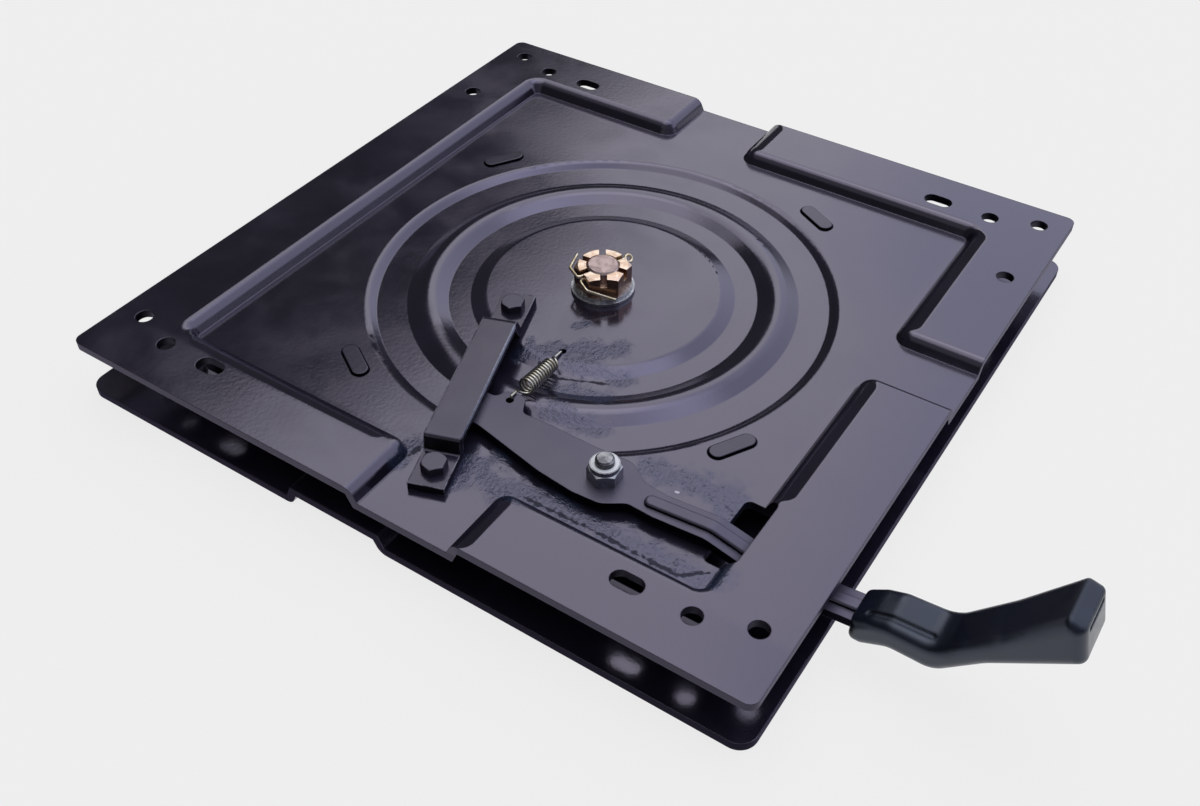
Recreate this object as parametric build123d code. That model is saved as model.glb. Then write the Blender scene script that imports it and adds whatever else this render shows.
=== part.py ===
from build123d import *
import os
from math import atan2, cos, degrees, hypot, pi, radians, tan

# Swivel seat base: two pressed steel plates on a ball race, with a spring-returned lock lever
# All sizes in millimetres; origin in the middle of the underside, +X to the handle, +Z up

# Pressed plates
PLATE_X = 350.0
PLATE_Y = 344.0
UPPER_CORNER_R = 4.5
LOWER_CORNER_R = 8.0
SHEET = 4.0
BEND_R = 1.5
LAND_STEP = 6.5
WALL_SLOPE = 65.0
LAND_END_R = 5.0
LAND_NOOK_R = 6.0

# Rim lands on the upper plate: widths from the plate's edge to their sharp upper edges, room for the
# lever in front of its pivot, and the gaps between the lands; the lower plate has its own front gap
LEFT_RIM = 35.5
RIGHT_RIM = 39.0
BACK_RIM = 33.5
FRONT_POCKET = 29.0
FRONT_GAP_X = (-8.3, 43.6)
LOWER_FRONT_GAP_X = (-45.8, 3.3)
BACK_GAP_X = (-45.8, 3.3)
RIGHT_GAP_Y = (6.0, 42.0)

# Turned rings pressed round the centre: disc, ball track on a ridge, and the groove round it
DISC_R = 57.0
DISC_WALL = 6.9
RACE_R = 84.6
RIDGE_HALF = 9.8
RIDGE_RISE = 4.5
GROOVE_FLOOR = 14.6
GROOVE_WALL = 4.0
GROOVE_DEPTH = 2.5
RING_MARGIN = 4.0

# Ball race
BALL_D = 12.0
BALL_COUNT = 16
RACE_EASE = 0.4
BALL_SEAT = 0.05
BALL_PLAY = 0.3
CAGE_THICK = 2.5
CAGE_HALF = 8.6
CAGE_CLEAR = 0.3

# Fixing holes on the upper plate, by their distance from its edges and from the lands' inner edges
FIX_HOLE_D = 8.5
FIX_EDGE_X = 37.5
FIX_FRONT_GAP = 12.0
FIX_BACK_GAP = 11.5
SLOT_EDGE_X = 65.5
SLOT_LENGTH = 14.5
CORNER_EDGE_X = 14.3
CORNER_BACK_EDGE = 14.8
CORNER_FRONT_EDGE = 30.0
SIDE_EDGE_X = 13.7
SIDE_EDGE_Y = 65.5

# King pin and its nut
PIN_D = 16.0
PIN_FIT = 0.05
PIN_HEAD_D = 36.0
PIN_HEAD_H = 5.0
PIN_TIP = 0.5
PIN_CHAMFER = 1.0
KING_WASHER_D = (31.0, 28.5)
KING_WASHER_T = 1.6
WASHER_BORE_EASE = 0.5
WASHER_CLEAR = 0.1
CASTLE_AF = 24.0
CASTLE_H = 10.6
CASTLE_SLOTS = 6
CASTLE_SLOT_W = 3.2
CASTLE_SLOT_H = 4.8
CASTLE_TURN = -25.0

# Split pin: stations of its legs along the cross hole, across it and above it
SPLIT_WIRE_D = 1.5
SPLIT_TURN = -22.0
SPLIT_LEG_GAP = 0.04
SPLIT_HOLE_D = 4.0
SPLIT_EYE_R = 1.75
SPLIT_EYE_ALONG = -15.0
SPLIT_EYE_TILT = 45.0
SPLIT_LEG_START = -13.6
SPLIT_BEND_R = 1.6
SPLIT_UPPER_LEG = ((14.2, 0.3, 0.0), (12.9, 9.1, 0.0), (4.2, 15.9, 0.0))
SPLIT_LOWER_LEG = ((13.6, -0.4, 0.0), (14.0, -7.0, -1.6), (3.5, -15.6, -6.2))

# Lock ring on the lower plate
LOCK_RIDGE_CLEAR = 1.8
LOCK_WALL_CLEAR = 6.0
LOCK_T = 3.0
LOCK_NOTCHES = 4
NOTCH_W = 6.4
NOTCH_DEPTH = 5.4

# Lever, a flat steel stamping
LEVER_T = 4.0
PIVOT_X = 72.7
PIVOT_Y = -109.0
PIVOT_SHOULDER_D = 10.0
PIVOT_FIT = 0.05
LEVER_TIP_X = -1.5
TAB_FREE = 0.7
TAB_LENGTH = 9.0
TAB_CLEAR = 0.4
TAB_WEB = 0.6
JOGGLE_WINDOW_GAP = 2.7
JOGGLE_SLOPE = 20.0
JOGGLE_DROP = 11.0
JOGGLE_R = 6.0
ARM_OUT = 15.0
ARM_ROOT_X = 100.0
ARM_ROOT_Y = -110.4
ARM_END_Y = -103.4
ARM_ROOT_W = 13.0
ARM_END_W = 14.5
RIB_W = 6.0
RIB_H = 2.0
RIB_EDGE_R = 1.4
RIB_START_X = 93.0
LEVER_HOOK = (13.8, -93.9)
HOOK_HOLE_D = 3.4
WINDOW_PANEL = 11.3
WINDOW_LAND = 3.0
WINDOW_Y = (-120.6, -83.5)
WINDOW_R = 3.0
TAB_SLOT_SIDE = 1.8
TAB_SLOT_OUT = 12.7
TAB_SLOT_IN = 6.3

# Lever outline: corners of its lobes as offset from the pivot or the hook hole, and corner radius
PIVOT_LOBE_FRONT = ((-61.4, -4.3, 12.0), (-24.3, -12.2, 30.0), (-6.7, -14.1, 14.0),
                    (6.3, -13.3, 8.0), (15.3, -7.3, 6.0))
PIVOT_LOBE_BACK = ((15.3, 6.1, 10.0), (5.3, 13.1, 10.0), (-10.7, 12.1, 14.0))
HOOK_LOBE = ((21.8, -2.6, 10.0), (9.2, -3.4, 3.0), (4.8, 5.4, 4.0), (-4.6, 4.6, 4.0), (-6.4, -1.4, 3.0))
ARM_ROOT_R = 20.0
ARM_END_R = 3.0

# Lever pivot fasteners
STUD_D = 8.0
STUD_HOLE_D = 8.4
STUD_HEAD_AF = 13.0
STUD_HEAD_H = 5.3
STUD_TIP = 3.0
PIVOT_WASHER_D = 22.0
PIVOT_WASHER_T = 1.6
LOCK_NUT_AF = 13.0
LOCK_NUT_H = 8.0
COLLAR_INSET = 0.2
INSERT_H = 2.2
INSERT_R = 5.8
PIVOT_WASHER_FIT = 0.1
FACE_CLEAR = 0.06

# Strap over the lever's tongue
STRAP_BOLT_A = (-24.2, -40.1)
STRAP_BOLT_B = (10.8, -141.7)
STRAP_W = 16.0
STRAP_T = 4.0
STRAP_RISE = 7.5
STRAP_LEG_INSET = (16.0, 11.8)
STRAP_LEG_RUN = (4.0, 2.0)
STRAP_FOOT = 10.8
STRAP_BEND_R = 0.8
STRAP_CROWN_R = (4.0, 1.8)
SMALL_BOLT_D = 6.0
SMALL_BOLT_FIT = 0.2
SMALL_BOLT_AF = 10.0
SMALL_HEAD_H = 4.0
SMALL_NUT_H = 5.0
SMALL_TIP = 1.6

# Return spring
SPRING_D = 7.8
SPRING_ASIDE = 1.0
SPRING_WIRE = 1.1
WIRE_SIDES = 6
SPRING_COILS = 12
SPRING_PITCH = 1.9
SPRING_LEAD = 9.0
SPRING_NECK = 2.4
SPRING_BEND_R = 0.9
SPRING_SEAT = 0.02
SPRING_CLEAR = 0.6
SPRING_ANCHOR = (10.6, -49.5)
ANCHOR_HOLE_D = 3.4

# Glide pads between the plates
PAD_GROOVE_GAP = (12.0, 13.5, 11.4, 8.3)
PAD_ANGLE = (61.0, 149.0, 239.0, 330.0)
PAD_LUG = (22.2, 7.9)
PAD_LUG_PROUD = 1.2
PAD_LUG_FIT = 0.15
PAD_BODY = (27.0, 11.6)
PAD_RUN = 0.3

# Grip moulded over the end of the lever: its side view from the collar to the tip, as distance out
# from the plate's edge, height over the middle of the arm's end and corner radius; the number of upper
# corners before the bend; a flute along that first run, between two distances out, and a slot in the end
GRIP_Y = -104.5
GRIP_UNDER = ((9.0, -5.6, 2.0), (15.0, -5.6, 5.0), (25.5, 0.0, 9.0), (43.2, 0.2, 12.0),
              (59.6, 18.0, 40.0), (88.2, 41.0, 3.0))
GRIP_OVER = ((9.0, 5.2, 1.5), (16.0, 9.8, 8.0), (23.5, 12.2, 10.0), (42.2, 12.8, 12.0),
             (60.0, 33.6, 60.0), (77.8, 57.8, 1.5))
GRIP_TIP = (84.2, 56.0, 1.5)
GRIP_COLLAR_W = 20.4
GRIP_TIP_W = 25.4
GRIP_EDGE_R = 4.0
GRIP_BEND = 4
FLUTE_OUT = (14.0, 40.0)
FLUTE_W = 2.8
FLUTE_DEEP = 1.0
FLUTE_SIDE = -4.9
GRIP_SLOT = (15.5, 2.0, 7.0)
GRIP_SLOT_EDGE = 2.2

# Plan places worked out from the sizes above
LEFT_LAND_X = LEFT_RIM - PLATE_X / 2
RIGHT_LAND_X = PLATE_X / 2 - RIGHT_RIM
FRONT_LAND_Y = PIVOT_Y - FRONT_POCKET
BACK_LAND_Y = PLATE_Y / 2 - BACK_RIM
FIX_X = PLATE_X / 2 - FIX_EDGE_X
FIX_FRONT_Y = FRONT_LAND_Y - FIX_FRONT_GAP
FIX_BACK_Y = BACK_LAND_Y + FIX_BACK_GAP
SLOT_X = PLATE_X / 2 - SLOT_EDGE_X
CORNER_X = PLATE_X / 2 - CORNER_EDGE_X
CORNER_BACK_Y = PLATE_Y / 2 - CORNER_BACK_EDGE
CORNER_FRONT_Y = CORNER_FRONT_EDGE - PLATE_Y / 2
SIDE_X = PLATE_X / 2 - SIDE_EDGE_X
SIDE_Y = PLATE_Y / 2 - SIDE_EDGE_Y
DISC_FOOT_R = DISC_R + DISC_WALL
GROOVE_FOOT_R = RACE_R + RIDGE_HALF + GROOVE_FLOOR
GROOVE_TOP_R = GROOVE_FOOT_R + GROOVE_WALL
RING_EDGE_R = GROOVE_TOP_R + RING_MARGIN
LOCK_IN_R = RACE_R + RIDGE_HALF + LOCK_RIDGE_CLEAR
LOCK_OUT_R = GROOVE_FOOT_R - LOCK_WALL_CLEAR
TAB_IN_Y = -LOCK_OUT_R - TAB_FREE
TAB_OUT_Y = TAB_IN_Y - TAB_LENGTH
TAB_SLOT_Y = (TAB_OUT_Y - TAB_SLOT_OUT, TAB_IN_Y + TAB_SLOT_IN)
WINDOW_X = (RIGHT_LAND_X - WINDOW_PANEL, RIGHT_LAND_X + WINDOW_LAND)
JOGGLE_X = WINDOW_X[0] - JOGGLE_WINDOW_GAP
ARM_END_X = PLATE_X / 2 + ARM_OUT

# Levels worked out from the sizes above, from the underside of the base upwards
PANEL_DROP = LAND_STEP
FLOOR_DROP = PANEL_DROP + GROOVE_DEPTH
RIDGE_ANGLE = degrees(atan2(RIDGE_RISE, RIDGE_HALF))
CREST_R = BALL_D / 2 + RACE_EASE + SHEET
CREST_DROP = FLOOR_DROP - RIDGE_RISE + CREST_R * (1 / cos(radians(RIDGE_ANGLE)) - 1)
BALL_DROP = CREST_DROP + SHEET + BALL_D / 2
HEIGHT = 2 * BALL_DROP + BALL_SEAT + BALL_PLAY
PANEL_TOP = HEIGHT - PANEL_DROP
PANEL_UNDER = PANEL_TOP - SHEET
LOWER_PANEL_TOP = PANEL_DROP + SHEET
LOWER_FLOOR_TOP = FLOOR_DROP + SHEET
BALL_Z = BALL_DROP + BALL_SEAT
WALL_RUN = LAND_STEP / tan(radians(WALL_SLOPE))
WALL_TAPER = 90.0 - WALL_SLOPE
OUTER_BEND_R = BEND_R + SHEET
MARGIN = 20.0
DEEP = 40.0
EDGE_FIND = 0.01
BASE = (Align.CENTER, Align.CENTER, Align.MIN)


def parallel(points, gap):
    """Polyline moved sideways by gap, to the right of its direction, with mitred corners."""
    lines = []
    for (x0, y0), (x1, y1) in zip(points, points[1:]):
        length = hypot(x1 - x0, y1 - y0)
        nx = (y1 - y0) / length
        ny = -(x1 - x0) / length
        lines.append((x0 + nx * gap, y0 + ny * gap, x1 - x0, y1 - y0))
    moved = [(lines[0][0], lines[0][1])]
    for (ax, ay, ux, uy), (bx, by, vx, vy) in zip(lines, lines[1:]):
        cross = ux * vy - uy * vx
        if abs(cross) < 1e-9:
            moved.append((bx, by))
            continue
        s = ((bx - ax) * vy - (by - ay) * vx) / cross
        moved.append((ax + ux * s, ay + uy * s))
    lx, ly, ux, uy = lines[-1]
    moved.append((lx + ux, ly + uy))
    return moved


def rounded(points, radii):
    """Closed face through points, with the corners rounded that have a radius."""
    face = make_face(Polyline(*points, close=True))
    for (x, y), radius in zip(points, radii):
        if radius > 0:
            corner = face.vertices().sort_by_distance((x, y, 0))[0]
            face = fillet(corner, radius)
    return face


def land_outlines(shift, front_gap):
    """Closed outlines of the three rim lands, grown by shift, with their corner radii."""
    ex = PLATE_X / 2 + MARGIN
    ey = PLATE_Y / 2 + MARGIN
    end_r = LAND_END_R + shift
    nook_r = LAND_NOOK_R - shift
    left = LEFT_LAND_X + shift
    right = RIGHT_LAND_X - shift
    front = FRONT_LAND_Y + shift
    back = BACK_LAND_Y - shift
    front_a = front_gap[0] + shift
    front_b = front_gap[1] - shift
    back_a = BACK_GAP_X[0] + shift
    back_b = BACK_GAP_X[1] - shift
    right_a = RIGHT_GAP_Y[0] + shift
    right_b = RIGHT_GAP_Y[1] - shift
    left_land = (
        [(-ex, -ey), (front_a, -ey), (front_a, front), (left, front),
         (left, back), (back_a, back), (back_a, ey), (-ex, ey)],
        [0, 0, end_r, nook_r, nook_r, end_r, 0, 0],
    )
    back_land = (
        [(back_b, back), (right, back), (right, right_b), (ex, right_b), (ex, ey), (back_b, ey)],
        [end_r, nook_r, end_r, 0, 0, 0],
    )
    front_land = (
        [(front_b, -ey), (ex, -ey), (ex, right_a), (right, right_a), (right, front), (front_b, front)],
        [0, 0, 0, end_r, nook_r, end_r],
    )
    return [left_land, back_land, front_land]


def ring_profile():
    """Upper side of the pressed rings, as radius and depth from the axis outwards."""
    panel = -PANEL_DROP
    floor = -FLOOR_DROP
    return [
        (0.0, panel),
        (DISC_R, panel),
        (DISC_FOOT_R, floor),
        (RACE_R - RIDGE_HALF, floor),
        (RACE_R, floor + RIDGE_RISE),
        (RACE_R + RIDGE_HALF, floor),
        (GROOVE_FOOT_R, floor),
        (GROOVE_TOP_R, panel),
        (RING_EDGE_R, panel),
    ]


def inside_plate(edge):
    """True for an edge whose middle lies within the plate's outline."""
    middle = edge.bounding_box().center()
    return abs(middle.X) < PLATE_X / 2 and abs(middle.Y) < PLATE_Y / 2


def stamped_form(depth, lands, crown_r, profile, radii):
    """Solid under one side of the pressing: slab, lands with sloping walls, and the turned rings."""
    panel = -PANEL_DROP - depth
    size_x = PLATE_X + 4 * MARGIN
    size_y = PLATE_Y + 4 * MARGIN
    form = Pos(0, 0, panel - DEEP / 2) * Box(size_x, size_y, DEEP)
    for points, corner_radii in lands:
        outline = rounded(points, corner_radii)
        form += Pos(0, 0, panel) * extrude(outline, LAND_STEP, taper=WALL_TAPER)
    if crown_r > 0:
        top = panel + LAND_STEP
        crown = form.edges().filter_by_position(Axis.Z, top - EDGE_FIND, top + EDGE_FIND)
        form = fillet(crown.filter_by(inside_plate), crown_r)
    bottom = panel - DEEP
    closed = profile + [(RING_EDGE_R, bottom), (0.0, bottom)]
    section = rounded(closed, radii + [0, 0])
    rings = revolve(Plane.XZ * section, Axis.Z)
    form -= Pos(0, 0, panel - DEEP / 2) * Cylinder(RING_EDGE_R, DEEP)
    return form + rings


def pressing(corner_r, front_gap):
    """Blank of one plate with its rim face at height 0 and the panel pressed down."""
    upper_profile = ring_profile()
    lower_profile = parallel(upper_profile, SHEET)
    bend = OUTER_BEND_R
    upper_radii = [0, bend, 0, 0, CREST_R, 0, 0, bend, 0]
    lower_radii = [0, 0, 0, 0, CREST_R - SHEET, 0, 0, 0, 0]
    inset = SHEET * tan(radians(WALL_SLOPE / 2))
    upper_lands = land_outlines(WALL_RUN, front_gap)
    lower_lands = land_outlines(WALL_RUN - inset, front_gap)
    above = stamped_form(0.0, upper_lands, bend, upper_profile, upper_radii)
    below = stamped_form(SHEET, lower_lands, 0.0, lower_profile, lower_radii)
    outline = RectangleRounded(PLATE_X, PLATE_Y, corner_r)
    blank = extrude(Pos(0, 0, -DEEP / 2) * outline, DEEP)
    return (blank & above) - below


def fixing_holes(drill):
    """Cutters for every fixing hole and slot, as laid out on the upper plate."""
    rows = (FIX_FRONT_Y, FIX_BACK_Y)
    places = [(x, y) for x in (-FIX_X, FIX_X) for y in rows]
    places += [(x, CORNER_BACK_Y) for x in (-CORNER_X, CORNER_X)]
    places += [(x, CORNER_FRONT_Y) for x in (-CORNER_X, CORNER_X)]
    places += [(x, SIDE_Y) for x in (-SIDE_X, SIDE_X)]
    cutters = [Pos(x, y, 0) * Cylinder(FIX_HOLE_D / 2, drill) for x, y in places]
    slot = extrude(SlotOverall(SLOT_LENGTH, FIX_HOLE_D), drill / 2, both=True)
    cutters += [Pos(x, y, 0) * slot for x in (-SLOT_X, SLOT_X) for y in rows]
    return cutters


def pad_places():
    """Positions of the glide pads, each turned so that its long side follows the circle."""
    places = []
    for gap, angle in zip(PAD_GROOVE_GAP, PAD_ANGLE):
        places.append(Rot(0, 0, angle) * Pos(GROOVE_TOP_R + gap, 0, 0) * Rot(0, 0, 90))
    return places


def make_lower_plate():
    """Lower plate: the pressing turned over side to side, drilled for the king pin."""
    gap_a, gap_b = LOWER_FRONT_GAP_X
    plate = pressing(LOWER_CORNER_R, (-gap_b, -gap_a)) - fixing_holes(DEEP)
    plate -= Cylinder(PIN_D / 2, 2 * DEEP)
    return Rot(0, 180, 0) * plate


def make_upper_plate():
    """Upper plate: the pressing, pierced for the pin, the lever, the strap, the spring and the pads."""
    plate = pressing(UPPER_CORNER_R, FRONT_GAP_X) - fixing_holes(DEEP)
    plate -= Cylinder(PIN_D / 2 + PIN_FIT, 2 * DEEP)
    window = RectangleRounded(WINDOW_X[1] - WINDOW_X[0], WINDOW_Y[1] - WINDOW_Y[0], WINDOW_R)
    window = Pos(sum(WINDOW_X) / 2, sum(WINDOW_Y) / 2) * window
    cuts = [extrude(window, DEEP, both=True)]
    tab_slot = Box(LEVER_T + 2 * TAB_SLOT_SIDE, TAB_SLOT_Y[1] - TAB_SLOT_Y[0], DEEP)
    cuts.append(Pos(LEVER_TIP_X + LEVER_T / 2, sum(TAB_SLOT_Y) / 2, 0) * tab_slot)
    cuts.append(Pos(PIVOT_X, PIVOT_Y, 0) * Cylinder(STUD_HOLE_D / 2, DEEP))
    for x, y in (STRAP_BOLT_A, STRAP_BOLT_B):
        cuts.append(Pos(x, y, 0) * Cylinder(SMALL_BOLT_D / 2 + SMALL_BOLT_FIT, DEEP))
    cuts.append(Pos(*SPRING_ANCHOR, 0) * Cylinder(ANCHOR_HOLE_D / 2, DEEP))
    lug_hole = SlotOverall(PAD_LUG[0] + 2 * PAD_LUG_FIT, PAD_LUG[1] + 2 * PAD_LUG_FIT)
    cuts += [place * extrude(lug_hole, DEEP, both=True) for place in pad_places()]
    return Pos(0, 0, HEIGHT) * (plate - cuts)


def make_balls():
    """Steel balls of the race, as separate solids."""
    ball = Pos(RACE_R, 0, BALL_Z) * Sphere(BALL_D / 2)
    return [Rot(0, 0, 360.0 * i / BALL_COUNT) * ball for i in range(BALL_COUNT)]


def make_cage():
    """Flat ring that keeps the balls apart."""
    cage = Cylinder(RACE_R + CAGE_HALF, CAGE_THICK) - Cylinder(RACE_R - CAGE_HALF, CAGE_THICK)
    pocket = Pos(RACE_R, 0, 0) * Cylinder(BALL_D / 2 + CAGE_CLEAR, CAGE_THICK)
    cage -= [Rot(0, 0, 360.0 * i / BALL_COUNT) * pocket for i in range(BALL_COUNT)]
    return Pos(0, 0, BALL_Z) * cage


def make_lock_ring():
    """Notched ring welded to the lower plate, for the tab of the lever."""
    ring = Cylinder(LOCK_OUT_R, LOCK_T) - Cylinder(LOCK_IN_R, LOCK_T)
    tab_x = LEVER_TIP_X + LEVER_T / 2
    reach = NOTCH_DEPTH + NOTCH_W
    notch = Pos(tab_x, -LOCK_OUT_R + NOTCH_DEPTH - reach / 2, 0) * Box(NOTCH_W, reach, LOCK_T)
    ring -= [Rot(0, 0, 360.0 * i / LOCK_NOTCHES) * notch for i in range(LOCK_NOTCHES)]
    return Pos(0, 0, LOWER_FLOOR_TOP + LOCK_T / 2) * ring


def washer(outer_d, inner_d, thick, bottom):
    """Plain washer standing on the height bottom."""
    ring = Cylinder(outer_d / 2, thick) - Cylinder(inner_d / 2, thick)
    return Pos(0, 0, bottom + thick / 2) * ring


def hexagon(across_flats, height, bottom, turn=0.0):
    """Hexagonal prism standing on the height bottom, its corners eased as on a turned nut."""
    prism = extrude(RegularPolygon(across_flats / 2, 6, major_radius=False, rotation=turn), height)
    corner_r = across_flats / 2 / cos(pi / 6)
    ease = (corner_r - across_flats / 2) * tan(radians(30.0))
    cone = Cylinder(corner_r, height, align=BASE)
    cone = chamfer(cone.edges().sort_by(Axis.Z)[-1], ease, corner_r - across_flats / 2)
    return Pos(0, 0, bottom) * (prism & cone)


WASHER_BOTTOM = PANEL_TOP + WASHER_CLEAR
NUT_BOTTOM = WASHER_BOTTOM + len(KING_WASHER_D) * KING_WASHER_T
NUT_TOP = NUT_BOTTOM + CASTLE_H
SPLIT_Z = NUT_TOP - CASTLE_SLOT_H + SPLIT_HOLE_D / 2


def make_king_pin():
    """Pin through both plates, with a flat head welded under the lower plate and a cross hole."""
    head_bottom = PANEL_DROP - PIN_HEAD_H
    length = NUT_TOP + PIN_TIP - PANEL_DROP
    shank = Pos(0, 0, PANEL_DROP) * Cylinder(PIN_D / 2, length, align=BASE)
    shank = chamfer(shank.edges().sort_by(Axis.Z)[-1], PIN_CHAMFER)
    pin = shank + Pos(0, 0, head_bottom) * Cylinder(PIN_HEAD_D / 2, PIN_HEAD_H, align=BASE)
    cross = Rot(0, 0, SPLIT_TURN) * Rot(90, 0, 0) * Cylinder(SPLIT_HOLE_D / 2, 2 * PIN_D)
    return pin - Pos(0, 0, SPLIT_Z) * cross


def make_king_washers():
    """The two plain washers under the castle nut, bottom one first."""
    washers = []
    for i, outer in enumerate(KING_WASHER_D):
        bottom = WASHER_BOTTOM + i * KING_WASHER_T
        washers.append(washer(outer, PIN_D + 2 * WASHER_BORE_EASE, KING_WASHER_T, bottom))
    return washers


def make_castle_nut():
    """Castle nut: a hexagon with a bore and six slots down from its top."""
    nut = hexagon(CASTLE_AF, CASTLE_H, NUT_BOTTOM, CASTLE_TURN)
    nut -= Pos(0, 0, NUT_BOTTOM) * Cylinder(PIN_D / 2 + PIN_FIT, CASTLE_H, align=BASE)
    slot_middle = NUT_TOP - CASTLE_SLOT_H / 2
    slot = Pos(0, -CASTLE_AF / 2, slot_middle) * Box(CASTLE_SLOT_W, CASTLE_AF, CASTLE_SLOT_H)
    turn = 360.0 / CASTLE_SLOTS
    return nut - [Rot(0, 0, CASTLE_TURN + i * turn) * slot for i in range(CASTLE_SLOTS)]


def wire_through(points, bend_r, wire_d):
    """Round wire drawn through points, with its corners bent to a radius."""
    path = FilletPolyline(*points, radius=bend_r)
    ring = Plane(path @ 0, z_dir=path % 0) * Circle(wire_d / 2)
    return sweep(ring, path=path)


def split_pin_leg(level, stations):
    """One leg of the split pin at its level in the cross hole, with the bends of its free end."""
    points = [Vector(0, -SPLIT_LEG_START, level)]
    points += [Vector(-across, -along, level + up) for along, across, up in stations]
    return wire_through(points, SPLIT_BEND_R, SPLIT_WIRE_D)


def make_split_pin():
    """Split pin through the castle nut: an eye behind, one leg bent round the nut, one bent down."""
    level = (SPLIT_WIRE_D + SPLIT_LEG_GAP) / 2
    pin = split_pin_leg(level, SPLIT_UPPER_LEG) + split_pin_leg(-level, SPLIT_LOWER_LEG)
    pin += Pos(0, -SPLIT_EYE_ALONG, 0) * Rot(0, SPLIT_EYE_TILT, 0) * Torus(SPLIT_EYE_R, SPLIT_WIRE_D / 2)
    return Pos(0, 0, SPLIT_Z) * Rot(0, 0, SPLIT_TURN) * pin


LEVER_BOTTOM = PANEL_TOP + PIVOT_WASHER_T + 2 * FACE_CLEAR
LEVER_TOP = LEVER_BOTTOM + LEVER_T
STUB_BOTTOM = LEVER_BOTTOM - JOGGLE_DROP
STUB_MIDDLE = STUB_BOTTOM + LEVER_T / 2


def arm_edge(x, side):
    """Edge of the lever's arm at x, on the front side for -1 and the back side for +1."""
    share = (x - ARM_ROOT_X) / (ARM_END_X - ARM_ROOT_X)
    middle = ARM_ROOT_Y + share * (ARM_END_Y - ARM_ROOT_Y)
    width = ARM_ROOT_W + share * (ARM_END_W - ARM_ROOT_W)
    return (x, middle + side * width / 2)


def lever_side_line():
    """Underside of the bent lever, seen from the front, from tongue to arm end."""
    run = JOGGLE_DROP / tan(radians(JOGGLE_SLOPE))
    return [
        (LEVER_TIP_X, LEVER_BOTTOM),
        (JOGGLE_X, LEVER_BOTTOM),
        (JOGGLE_X + run, STUB_BOTTOM),
        (ARM_END_X, STUB_BOTTOM),
    ]


def side_band(base, low, high):
    """Band between two parallels of a side line, pushed through the whole depth of the plate."""
    under = parallel(base, -low)
    over = parallel(base, -high)
    points = under + over[::-1]
    radii = [0, JOGGLE_R + LEVER_T - low, JOGGLE_R + low, 0]
    radii += [0, JOGGLE_R + high, JOGGLE_R + LEVER_T, 0]
    face = Plane.XZ * rounded(points, radii)
    return extrude(face, PLATE_Y / 2, both=True)


def lever_outline():
    """Corners of the flat lever with their radii, from the tongue along the front side and back."""
    hook_x, hook_y = LEVER_HOOK
    tip_front = TAB_OUT_Y - TAB_WEB
    tip_back = hook_y + HOOK_LOBE[-1][1]
    corners = [(LEVER_TIP_X, tip_front, 0.0)]
    corners += [(PIVOT_X + dx, PIVOT_Y + dy, radius) for dx, dy, radius in PIVOT_LOBE_FRONT]
    corners.append((*arm_edge(ARM_ROOT_X, -1), ARM_ROOT_R))
    corners.append((*arm_edge(ARM_END_X, -1), ARM_END_R))
    corners.append((*arm_edge(ARM_END_X, 1), ARM_END_R))
    corners.append((*arm_edge(ARM_ROOT_X, 1), ARM_ROOT_R))
    corners += [(PIVOT_X + dx, PIVOT_Y + dy, radius) for dx, dy, radius in PIVOT_LOBE_BACK]
    corners += [(hook_x + dx, hook_y + dy, radius) for dx, dy, radius in HOOK_LOBE]
    corners.append((LEVER_TIP_X, tip_back, 0.0))
    return rounded([(x, y) for x, y, _ in corners], [radius for _, _, radius in corners])


def rib_strip():
    """Plan of the rib along the middle of the lever's arm."""
    x0, y0 = arm_edge(RIB_START_X, 0)
    x1, y1 = arm_edge(ARM_END_X, 0)
    turn = Rot(0, 0, degrees(atan2(y1 - y0, x1 - x0)))
    return Pos((x0 + x1) / 2, (y0 + y1) / 2) * turn * SlotOverall(hypot(x1 - x0, y1 - y0), RIB_W)


def make_rib(side_line):
    """Rib pressed up along the lever's arm, its upper edges rounded."""
    rib = extrude(rib_strip(), HEIGHT + LEVER_T) & side_band(side_line, LEVER_T / 2, LEVER_T + RIB_H)
    tops = rib.faces().filter_by(lambda face: face.normal_at().Z > 0.5)
    across = tops.edges().filter_by(lambda edge: abs(edge.tangent_at(0.5).Y) > 0.7).filter_by(GeomType.LINE)
    return fillet(tops.edges() - across, RIB_EDGE_R)


def make_lever():
    """Lever: one steel stamping with a turned-down tab, a joggle and a pressed rib along its arm."""
    line = lever_side_line()
    lever = extrude(lever_outline(), HEIGHT + LEVER_T) & side_band(line, 0.0, LEVER_T)
    lever += make_rib(line)
    tab_bottom = LOWER_FLOOR_TOP + TAB_CLEAR
    tab = Box(LEVER_T, TAB_IN_Y - TAB_OUT_Y, LEVER_TOP - tab_bottom)
    tab_middle = (LEVER_TIP_X + LEVER_T / 2, (TAB_IN_Y + TAB_OUT_Y) / 2, (LEVER_TOP + tab_bottom) / 2)
    lever += Pos(*tab_middle) * tab
    lever -= Pos(PIVOT_X, PIVOT_Y, 0) * Cylinder(PIVOT_SHOULDER_D / 2 + PIVOT_FIT, 4 * HEIGHT)
    lever -= Pos(*LEVER_HOOK, 0) * Cylinder(HOOK_HOLE_D / 2, 4 * HEIGHT)
    return lever


def grip_side(corners):
    """Corners of the grip's side view moved to their place, as X and height."""
    return [(PLATE_X / 2 + out, STUB_MIDDLE + up) for out, up, _ in corners]


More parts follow.
